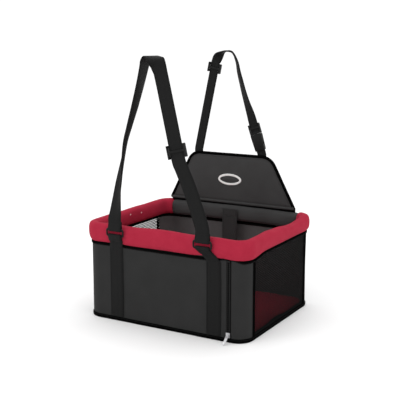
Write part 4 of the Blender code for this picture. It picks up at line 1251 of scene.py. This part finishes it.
tilt_bar = (-186.51 * MM, 205 * MM, 1)
swing_bar = (-186.51 * MM, 221 * MM, -1)
wide_webbing = webbing_finish("wide_twill_webbing", "#060606", "#151515", 36 * MM)
narrow_webbing = webbing_finish("narrow_twill_webbing", "#060606", "#151515", 25 * MM)
tether_webbing = webbing_finish("tether_twill_webbing", "#262626", "#383838", 43 * MM)
webbing("band_webbing_left", "front_band_left", "carrier", wide_webbing, bars=[tilt_bar])
webbing("band_webbing_right", "front_band_right", "carrier", wide_webbing, bars=[tilt_bar])
webbing(
    "front_strap_webbing", "front_strap", "front_strap", wide_webbing,
    loose=(Vector((-85, -183, 425)) * MM, 200 * MM, 1.7, 6.5 * MM), bars=[swing_bar],
)
webbing(
    "rear_strap_webbing", "rear_strap", "rear_strap", narrow_webbing,
    loose=(Vector((-4, 172, 595)) * MM, 110 * MM, 1.8, 2.5 * MM),
)
webbing("tether_strap_webbing", "tether_webbing", "tether", tether_webbing)
print("front strap stations:", len(ribbon_stations("front_strap")))

# %% Short webbing ends
stub_lap = 1.4 * MM
stub_steps = 4
stub_fullness = 1.04


def webbing_stub(name, node, body, finish):
    """A short upright end of webbing in the space of a CAD block."""
    low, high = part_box(node)
    high.z += stub_lap
    middle = (low + high) / 2
    wide = Vector((high.x - low.x, 0, 0))
    thick = Vector((0, high.y - low.y, 0))
    stations = [
        (Vector((middle.x, middle.y, z)), wide, thick) for z in spaced(low.z, high.z, stub_steps)
    ]
    return webbing(name, node, body, finish, stations, stub_fullness)


webbing_stub("rear_end_left", "rear_anchor_left", "backrest", narrow_webbing)
webbing_stub("rear_end_right", "rear_anchor_right", "backrest", narrow_webbing)
webbing_stub("tether_sewn_end", "tether_anchor", "carrier", tether_webbing)

# %% The last webbing below the buckle
buckle_lean = math.radians(18.3)
lean_way = Vector((-math.sin(buckle_lean), 0, math.cos(buckle_lean)))
lean_across = Vector((math.cos(buckle_lean), 0, math.sin(buckle_lean)))
buckle_foot = Vector((0.0723, 0.17205, 0.373))
anchor_low, anchor_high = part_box("rear_anchor_right")
anchor_top = Vector(((anchor_low.x + anchor_high.x) / 2, buckle_foot.y, anchor_high.z))
narrow_width, narrow_thickness = 25 * MM, 1.5 * MM
lower_stations = []
for place, turned in (
    (anchor_top + Vector((0, 0, 0.7 * MM)), 0), (anchor_top + Vector((-0.7, 0, 3.2)) * MM, 0.4),
    (buckle_foot - lean_way * 3 * MM, 0.9), (buckle_foot, 1), (buckle_foot + lean_way * 6 * MM, 1),
):
    wide = Vector((1, 0, 0)).lerp(lean_across, turned).normalized() * narrow_width
    lower_stations.append((place, wide, Vector((0, narrow_thickness, 0))))
webbing("buckle_lower_webbing", "rear_strap_lower", "rear_strap", narrow_webbing, lower_stations)
print("lower webbing in mm:", round((lower_stations[-1][0] - anchor_top).length / MM, 1))

# %% [markdown]
# ## Base cloth and hinge cloth
#
# The base is a flat cloth under the board. It is the same crowned cushion form with almost no height.
# The flap is sewn to the back sleeve by a strip of the same cloth, and the strip is the hinge: it has
# no pin. The strip is drawn near black with the tape finish, as painted shade of the crease where
# flap and sleeve meet.

# %% Base cloth
base_corner = Vector((half_x, half_y))
base_edge = box_outline(-base_corner, base_corner, corner_radius, 8 * MM)
base_middle = (base_low.z + base_high.z) / 2
base_half = (base_high.z - base_low.z) / 2
base_cloth = cushion(
    "base_cloth", base_edge, Vector((0, 0)),
    lambda point, share: base_half * (1 - 0.3 * share ** 30),
    lambda point, height: Vector((*point, base_middle + height)),
)
dress(base_cloth, flap_cloth, "carrier", "oxford_cloth", "base_panel")
print("base cloth area in square metres:", round(surface_area(base_cloth) / 2, 3))

# %% Hinge cloth
hinge_thickness = 1.6 * MM
hinge_low, hinge_high = rim_high.z - 7 * MM, binding_low.z + 6 * MM
hinge_half = binding_high.x - 3 * MM
hinge_spread = 12 * MM
hinge_rows = 14
hinge_columns = 60
hinge_ripple = 0.25 * MM
rings = []
for x in spaced(-hinge_half - hinge_spread, hinge_half, hinge_columns):
    front, back = [], []
    for z in spaced(hinge_low, hinge_high, hinge_rows):
        ripple = hinge_ripple * noise.noise(Vector((x / 0.02, 0.3, z / 0.01)))
        front.append(Vector((x, fold_y - hinge_thickness / 2 + ripple, z)))
        back.append(Vector((x, fold_y + hinge_thickness / 2 + ripple, z)))
    rings.append(front + back[::-1])
hinge_long = hinge_high - hinge_low
hinge_map = spaced(0, hinge_long, hinge_rows)
hinge_map += [2 * hinge_long - value for value in hinge_map[::-1]] + [2 * hinge_long]
hinge_cloth = skin("hinge_cloth", rings, hinge_map)
# The near-black tape finish on this strip is painted shade of the crease where flap and sleeve meet.
dress(hinge_cloth, binding_tape, None, "oxford_cloth")
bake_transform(hinge_cloth)
print("hinge cloth in mm:", [round(side / MM, 1) for side in hinge_cloth.dimensions])

# %% [markdown]
# ## Helpers for hard parts
#
# Hard parts are made as by hand. A primitive is added at its size and place, the faces or points to
# change are picked by where they lie, and edit-mode operators shape them. No mould or press makes a
# sharp edge, so each part ends with a small bevel, which is also what catches the light.

# %% Picking in edit mode, and softened copies
def pick(piece, wanted, kind="FACE"):
    """Opens a piece in edit mode with only the wanted faces or points picked."""
    select_only(piece)
    bpy.ops.object.mode_set(mode="EDIT")
    bpy.ops.mesh.select_mode(type=kind)
    bpy.ops.mesh.select_all(action="DESELECT")
    bm = bmesh.from_edit_mesh(piece.data)
    for part in bm.faces if kind == "FACE" else bm.verts:
        place = part.calc_center_median() if kind == "FACE" else part.co
        if wanted(place, part.normal):
            part.select_set(True)
    bm.select_flush_mode()
    bmesh.update_edit_mesh(piece.data)


def pick_all(piece):
    select_only(piece)
    bpy.ops.object.mode_set(mode="EDIT")
    bpy.ops.mesh.select_mode(type="FACE")
    bpy.ops.mesh.select_all(action="SELECT")


def put_down():
    bpy.ops.object.mode_set(mode="OBJECT")


def added(name):
    """The primitive just added, named, with its place in its mesh."""
    piece = bpy.context.object
    piece.name = piece.data.name = name
    bpy.ops.object.transform_apply(location=True, rotation=True, scale=True)
    return piece


def softened(name, node, edge_radius, segments=2, flat_turn=2, sharp_turn=35):
    """A copy of a CAD node, merged to whole faces, with its edges rounded."""
    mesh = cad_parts[node].data.copy()
    mesh.name = name
    piece = placed(name, mesh)
    pick_all(piece)
    bpy.ops.mesh.remove_doubles(threshold=1e-6)
    bpy.ops.mesh.dissolve_limited(angle_limit=math.radians(flat_turn))
    put_down()
    apply_modifier(
        piece, "BEVEL", width=edge_radius, segments=segments, limit_method="ANGLE",
        angle_limit=math.radians(sharp_turn), use_clamp_overlap=True,
    )
    return piece


def joined(name, pieces):
    """Several pieces of one hard part, made one object."""
    select_only(pieces[0])
    for piece in pieces[1:]:
        piece.select_set(True)
    bpy.ops.object.join()
    pieces[0].name = pieces[0].data.name = name
    return pieces[0]


def repeated(piece, edge_radius, count, step, place, lean):
    """Rounds a small form, repeats it by a step and sets the row at its place on a slope."""
    apply_modifier(piece, "BEVEL", width=edge_radius, segments=2, limit_method="ANGLE")
    apply_modifier(
        piece, "ARRAY", count=count, use_relative_offset=False, use_constant_offset=True,
        constant_offset_displace=step,
    )
    piece.location, piece.rotation_euler = place, (0, -lean, 0)
    select_only(piece)
    bpy.ops.object.transform_apply(location=True, rotation=True, scale=True)


def hard_copy(node, name, radius, finish, body, slot, smooth_angle=40, **turns):
    """A softened copy of a CAD node, its edge radius in millimetres, dressed in its place."""
    piece = softened(name, node, radius * MM, **turns)
    return dress(piece, finish, body, slot, node, smooth_angle=smooth_angle)


# %% [markdown]
# ## Front rings
#
# Each ring is moulded black plastic, a round rod in the form of a rectangle with rounded corners. A
# torus is such a rod bent round a circle. Its quarters are picked by place and moved apart, and
# the faces between them stretch into straight bars. The torus is first turned by half a segment,
# so that no point lies on a line between two quarters.

# %% Rings
rod_radius = 2 * MM
ring_bend = 4 * MM
ring_segments = 24
ring_half_height = 10 * MM
side_bar_depth = 0.94


def ring_piece(name, node):
    low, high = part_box(node)
    middle = (low + high) / 2
    bpy.ops.object.select_all(action="DESELECT")
    bpy.ops.mesh.primitive_torus_add(
        major_radius=ring_bend, minor_radius=rod_radius, major_segments=ring_segments,
        minor_segments=16, location=middle, rotation=(math.pi / 2, math.pi / ring_segments, 0),
    )
    piece = added(name)
    apart_x = (high.x - low.x) / 2 - rod_radius - ring_bend
    apart_z = ring_half_height - rod_radius - ring_bend
    for sx, sz in itertools.product((-1, 1), repeat=2):
        def in_quarter(place, way):
            return (place.x - middle.x) * sx > 0 and (place.z - middle.z) * sz > 0
        pick(piece, in_quarter, "VERT")
        bpy.ops.transform.translate(value=(sx * apart_x, 0, sz * apart_z))
        put_down()
    pick(piece, lambda place, way: abs(place.x - middle.x) > apart_x + ring_bend, "VERT")
    bpy.ops.transform.resize(value=(1, side_bar_depth, 1))
    put_down()
    return dress(piece, acetal, "front_rings", "black_plastic", node, smooth_angle=60)


for side in ("left", "right"):
    ring = ring_piece(f"plastic_ring_{side}", f"ring_{side}")
print("ring in mm:", [round(value / MM, 1) for value in ring.dimensions])

# %% [markdown]
# ## Sliders
#
# A slider is a frame with three bars. The webbing passes behind the middle bar and before the outer
# two, so it grips when pulled. The CAD node has true bars and slots, so a copy is merged and its
# edges are rounded. The middle bar has moulded ribs, which bite the webbing. One rib is made, and
# the array modifier repeats it.

# %% Strap sliders
rib_radius = 0.45 * MM
rib_length = 4.2 * MM
rail_trim = 2 * MM
bar_depth = 4 * MM
front_slider_place = Vector((47.1, -186.5, 410.9)) * MM
rear_slider_place = Vector((-59.8, 172.05, 573.9)) * MM


def strap_slider(name, node, body, centre, lean, reach, count):
    """The bars lie across the webbing; lean turns their copy onto the strap's slope."""
    piece = softened(name, node, 0.9 * MM, 3)
    across = Vector((math.cos(lean), 0, math.sin(lean)))
    rail_middle = max((v.co - centre).dot(across) for v in piece.data.vertices) - 3 * MM
    for side in (-1, 1):
        pick(piece, lambda place, way: (place - centre).dot(across) * side > rail_middle, "VERT")
        bpy.ops.transform.translate(value=across * -side * rail_trim)
        put_down()
    pitch = 2 * reach / (count - 1)
    bpy.ops.object.select_all(action="DESELECT")
    bpy.ops.mesh.primitive_cylinder_add(
        vertices=10, radius=rib_radius, depth=rib_length, location=(-reach, -bar_depth, 0),
    )
    ribs = added(name + "_ribs")
    repeated(ribs, 0.3 * MM, count, (pitch, 0, 0), centre, lean)
    return dress(joined(name, [piece, ribs]), acetal, body, "black_plastic", node, smooth_angle=40)


strap_slider(
    "front_strap_slider", "front_slider", "front_slider", front_slider_place,
    math.radians(13.2), 15 * MM, 11,
)
strap_slider(
    "rear_strap_slider", "rear_slider", "rear_slider", rear_slider_place,
    math.radians(-12.1), 10 * MM, 8,
)

# %% [markdown]
# ## Side release buckle
#
# The housing is hollow, with a window in each side. The tongue carries a guide and two prongs whose
# heads stand in the windows, where fingers squeeze them. Each is a separate moulding, so each is a
# piece of its own. The housing gets the raised ribs that show a thumb where to hold it.

# %% Buckle
housing = softened("buckle_shell", "buckle_housing", 0.8 * MM, 3)
housing_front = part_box("buckle_housing")[0].y
grip_place = (0, housing_front, 5 * MM)
grip_size = Vector((18, 1.0, 1.2)) * MM
bpy.ops.object.select_all(action="DESELECT")
bpy.ops.mesh.primitive_cube_add(size=1, location=grip_place)
grips = added("buckle_grips")
pick_all(grips)
bpy.ops.transform.resize(value=grip_size, center_override=grip_place)
put_down()
repeated(
    grips, 0.4 * MM, 4, (0, 0, 2.6 * MM), (buckle_foot.x, 0, buckle_foot.z), buckle_lean,
)
dress(
    joined("buckle_shell", [housing, grips]), acetal, "rear_strap", "black_plastic",
    "buckle_housing", smooth_angle=40,
)
hard_copy("buckle_tongue", "buckle_insert", 0.5, acetal, "rear_strap", "black_plastic")
for side in ("left", "right"):
    prong = f"buckle_prong_{side}"
    hard_copy(prong, f"buckle_spring_{side}", 0.35, acetal, prong, "black_plastic")
print("buckle points:", len(housing.data.vertices))

# %% [markdown]
# ## Zipper
#
# The zipper is nylon coil between two tapes. Its teeth, stops, slider and pull are softened copies,
# because the CAD nodes have the true pitch and gaps. A strip of cloth behind the coil keeps draught
# and dirt out, and it closes the slit that would otherwise show the red mat.

# %% Zipper parts and its backing
for row in (
    ("zipper_teeth_left", "coil_teeth_left", 0.4, nylon_coil, "carrier", "black_plastic"),
    ("zipper_teeth_right", "coil_teeth_right", 0.4, nylon_coil, "carrier", "black_plastic"),
    ("zipper_top_stop", "coil_top_stop", 0.5, nylon_coil, "carrier", "zinc"),
    ("zipper_bottom_stop", "coil_bottom_stop", 0.5, nylon_coil, "carrier", "zinc"),
    ("zipper_slider", "zipper_runner", 0.35, cast_zinc, "zipper_slider", "zinc"),
    ("zipper_pull", "zipper_tab", 0.3, cast_zinc, "zipper_pull", "zinc"),
):
    hard_copy(*row)
backing_rows = 35
backing_low = Vector((zipper_left_edge - 4 * MM, -172.1 * MM, 5.8 * MM))
backing_high = Vector((zipper_right_edge + 3 * MM, -171.3 * MM, inner_low.z - 0.6 * MM))
section = tape_section(backing_low.x, backing_high.x, backing_low.y, backing_high.y)
rings = [
    [Vector((wide, thin, z)) for thin, wide in section]
    for z in spaced(backing_low.z, backing_high.z, backing_rows)
]
backing = skin("zipper_backing", rings, section_lengths(section))
dress(backing, flap_cloth, "carrier", "binding")

# %% [markdown]
# ## Oval patch
#
# The flap has an oval patch with a white edging. It is left bare. A filled circle is added, made
# oval, and inset: the outer band becomes the edging and the middle becomes the patch. Extruding and
# insetting again gives the patch a padded crown.

# %% Edging and patch
edging_low, edging_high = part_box("badge_border")
edging_middle = (edging_low + edging_high) / 2
edging_width = 5.5 * MM
oval_points = 72


def oval(name, wide, tall, y):
    """A filled oval that faces forwards."""
    bpy.ops.object.select_all(action="DESELECT")
    bpy.ops.mesh.primitive_circle_add(
        vertices=oval_points, radius=0.5, fill_type="NGON", rotation=(math.pi / 2, 0, 0),
        location=(edging_middle.x, y, edging_middle.z),
    )
    piece = bpy.context.object
    piece.scale = (wide, tall, 1)
    return added(name)


edging_size = edging_high - edging_low
edging = oval("patch_edging", edging_size.x, edging_size.z, edging_high.y)
pick_all(edging)
bpy.ops.mesh.inset(thickness=edging_width, use_even_offset=True)
bpy.ops.mesh.delete(type="FACE")
put_down()
apply_modifier(edging, "SOLIDIFY", thickness=edging_size.y, offset=1)
pick(edging, lambda place, way: way.y < -0.9)
bpy.ops.mesh.inset(thickness=1.4 * MM, depth=0.25 * MM)
put_down()
apply_modifier(edging, "BEVEL", width=0.35 * MM, segments=2, limit_method="ANGLE")
print("edging from", round(min(v.co.y for v in edging.data.vertices) / MM, 2), "mm")
dress(edging, white_weave, "backrest", "badge_white", "badge_border", smooth_angle=60)

patch_low, patch_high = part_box("badge_patch")
patch = oval(
    "bare_patch", patch_high.x - patch_low.x, patch_high.z - patch_low.z, patch_high.y,
)
pick_all(patch)
patch_rise = (0, patch_low.y - patch_high.y, 0)
bpy.ops.mesh.extrude_region_move(TRANSFORM_OT_translate={"value": patch_rise})
bpy.ops.mesh.inset(thickness=3.4 * MM)
bpy.ops.mesh.inset(thickness=0.6 * MM, depth=-0.3 * MM)
bpy.ops.mesh.inset(thickness=0.6 * MM, depth=0.3 * MM)
put_down()
apply_modifier(patch, "SOLIDIFY", thickness=0.3 * MM, offset=-1)
dress(patch, flap_cloth, "backrest", "lining_cloth", "badge_patch", smooth_angle=60)

# %% [markdown]
# ## Tether hook
#
# A snap hook on a swivel eye hangs from the tether behind the front rim. The hook is plated steel.
# The gate is a separate spring-loaded pin arm, so it stays a piece of its own.

# %% Swivel eye, hook and gate
for node, name, radius, body in (
    ("swivel_eye", "tether_swivel_eye", 0.5, "tether"),
    ("snap_hook", "tether_hook", 0.4, "snap_hook"),
    ("snap_gate", "tether_hook_gate", 0.3, "snap_gate"),
):
    part = hard_copy(
        node, name, radius, plated_steel, body, "steel", 45, flat_turn=1, sharp_turn=40,
    )
    print(name, "points:", len(part.data.vertices))

# %% [markdown]
# ## Parts that keep their CAD shape
#
# The tubes, elbows and board are true as they are and are hidden inside cloth. They keep their
# meshes and get better finishes through their material slots.

# %% Tubes, elbows and board
kept = {"_tube": pvc_tube, "elbow_": acetal, "base_board": pulp_board}
for name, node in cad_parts.items():
    for part_of_name, finish in kept.items():
        if part_of_name in name:
            for place in node.material_slots:
                place.material = finish
print("kept:", sum(any(word in name for word in kept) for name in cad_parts), "nodes")

# %% [markdown]
# ## Stitches
#
# Stitches are what makes sewn work read as sewn. One stitch is modelled, a short thick thread that
# dips into the cloth at both ends. A row is a list of rays cast at the finished cloth: where
# a ray meets it, a copy of the stitch is laid along the row. So the rows follow every pucker.

# %% One stitch and a row of them
stitch_pitch = 4.4 * MM
stitch_size = Vector((1.6, 0.42, 0.34)) * MM
stitch_lift = 0.05 * MM
ray_start = 25 * MM
bpy.ops.object.select_all(action="DESELECT")
bpy.ops.mesh.primitive_uv_sphere_add(
    segments=6, ring_count=5, radius=1, rotation=(0, math.pi / 2, 0),
)
one_stitch = added("one_stitch")
pick_all(one_stitch)
bpy.ops.transform.resize(value=stitch_size)
put_down()
stitch_points = [vertex.co.copy() for vertex in one_stitch.data.vertices]
stitch_faces = [list(face.vertices) for face in one_stitch.data.polygons]
bpy.data.objects.remove(one_stitch)


def sew(name, cloth, rows, thread, body, slot):
    """Lays stitches on a cloth along rows of (origin, way) rays."""
    bpy.context.view_layer.update()
    points, faces = [], []
    for row in rows:
        met = [cloth.ray_cast(origin, way) for origin, way in row]
        for before, here, after in zip(met, met[1:], met[2:]):
            if not (before[0] and here[0] and after[0]):
                continue
            along = (after[1] - before[1]).normalized()
            side = here[2].cross(along).normalized()
            up = along.cross(side)
            first = len(points)
            middle = here[1] + up * stitch_lift
            points += [middle + along * p.x + side * p.y + up * p.z for p in stitch_points]
            faces += [[first + corner for corner in face] for face in stitch_faces]
    mesh = bpy.data.meshes.new(name)
    mesh.from_pydata(points, [], faces)
    print(name, "stitches:", len(faces) // len(stitch_faces))
    return dress(placed(name, mesh), thread, body, slot, smooth_angle=180)


def round_row(height, outside=True, hangs=False):
    """Rays at the outside or inside of the box at one height."""
    side = 1 if outside else -1
    row = []
    for i in range(round(perimeter / stitch_pitch) + 1):
        point, out = wall_place(i * stitch_pitch)
        lower = tape_hang(*point) if hangs else 0
        start = point + out * side * ray_start
        row.append((Vector((*start, height - lower)), Vector((*(-out * side), 0))))
    return row


def straight_row(first, last, y=-0.3):
    """Rays along Y from a straight line between two places, each given as (x, z)."""
    count = round(math.dist(first, last) / stitch_pitch)
    places = zip(*(spaced(a, b, count) for a, b in zip(first, last)))
    return [(Vector((x, y, z)), Vector((0, 1, 0))) for x, z in places]


# %% Rows on the box
def of(name):
    return bpy.data.objects[name]


bottom_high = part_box("bottom_binding")[1]
top_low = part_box("top_binding")[0]
for name, row in (
    ("bottom_tape", round_row(bottom_high.z - 2.5 * MM)),
    ("top_tape", round_row(top_low.z + 1.5 * MM, hangs=True)),
    ("inner_tape", round_row(inner_low.z + 2 * MM, outside=False)),
):
    sew(f"{name}_stitches", of(name), [row], black_thread, "carrier", "binding")
for side in ("left", "right"):
    foot = min(ribbon_stations(f"front_band_{side}"), key=lambda station: station[0].z)[0]
    low, high, level = foot.z + 2 * MM, top_low.z - 8 * MM, top_low.z - 9 * MM
    rows = [
        straight_row((foot.x + x * MM, low), (foot.x + x * MM, high)) for x in (-15, 15)
    ]
    rows.append(straight_row((foot.x - 14 * MM, level), (foot.x + 14 * MM, level)))
    band_cloth = of(f"band_webbing_{side}")
    sew(f"band_stitches_{side}", band_cloth, rows, black_thread, "carrier", "webbing")
for side, edge, way in (("left", 0, 1), ("right", 1, -1)):
    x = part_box(f"zipper_tape_{side}")[edge].x + way * 1.2 * MM
    row = straight_row((x, 12 * MM), (x, top_low.z - 2 * MM))
    sew(f"zip_stitches_{side}", of(f"zip_tape_{side}"), [row], black_thread, "carrier", "binding")

# %% Rows on the flap and the tether
flap_seam = even_outline(flap_outline(2 * binding_radius + 3 * MM), stitch_pitch)
flap_seam = flap_seam + flap_seam[:3]
front_seam = [(Vector((p.x, 0, p.y)), Vector((0, 1, 0))) for p in flap_seam]
back_seam = [(Vector((p.x, 0.3, p.y)), Vector((0, -1, 0))) for p in flap_seam]
sew("flap_stitches", flap, [front_seam, back_seam], black_thread, "backrest", "oxford_cloth")
tether_low, tether_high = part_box("tether_anchor")
box_low = tether_low + Vector((4, 0, 4)) * MM
box_high = tether_high - Vector((4, 0, 3)) * MM
rows = [straight_row((box_low.x, z), (box_high.x, z), 0.0) for z in (box_low.z, box_high.z)]
rows += [straight_row((x, box_low.z), (x, box_high.z), 0.0) for x in (box_low.x, box_high.x)]
sew("tether_box_stitches", of("tether_sewn_end"), rows, black_thread, "carrier", "webbing")

# %% Two small pale marks inside the left of the rim, drawn as short rows of pale stitches
pale_mark_places = ((-22.5, 218.6), (25.4, 215.3))
rows = []
for y, z in pale_mark_places:
    for k in range(3):
        rows.append([
            (Vector((-120, y + 1.6 * (j - 1.5) + 0.4 * k, z + 0.8 * (j - 1.5) - 0.8 * k)) * MM,
             Vector((-1, 0, 0)))
            for j in range(4)
        ])
sew("rim_pale_marks", of("plush_rim"), rows, pale_mark_finish, "carrier", "red_plush")

# %% [markdown]
# ## The floor and the light
#
# A product picture is lit by big soft lights from all round, so that black cloth still shows its
# form. The floor is plain and pale, and it isn't part of the object.

# %% Floor, world and lamps
floor_size = 80
bpy.ops.object.select_all(action="DESELECT")
bpy.ops.mesh.primitive_plane_add(size=floor_size, location=(0, 0, 0))
floor = bpy.context.object
floor.name = "studio_floor"
paper = new_finish("white_background_paper", "#FAFAFA", 0.9, gloss=0)[0]
floor.data.materials.append(paper)

world = bpy.data.worlds.new("soft_white_room")
world.use_nodes = True
world.node_tree.nodes["Background"].inputs["Color"].default_value = (1, 1, 1, 1)
world.node_tree.nodes["Background"].inputs["Strength"].default_value = 1.1
bpy.context.scene.world = world
bpy.context.scene.view_settings.view_transform = "Standard"


def soft_lamp(name, place, size, watts):
    """A square lamp that faces the object."""
    bpy.ops.object.select_all(action="DESELECT")
    turn = (Vector(place) - Vector((0, 0, 0.2))).to_track_quat("Z", "Y").to_euler()
    bpy.ops.object.light_add(type="AREA", location=place, rotation=turn)
    lamp = bpy.context.object
    lamp.name = name
    lamp.data.size = size
    lamp.data.energy = watts


soft_lamp("key_lamp", (-1.6, -2.4, 2.2), size=1.6, watts=16)
soft_lamp("side_lamp", (2.6, -0.6, 1.6), size=1.8, watts=5)
soft_lamp("top_lamp", (0.2, 0.8, 2.6), size=1.6, watts=8)
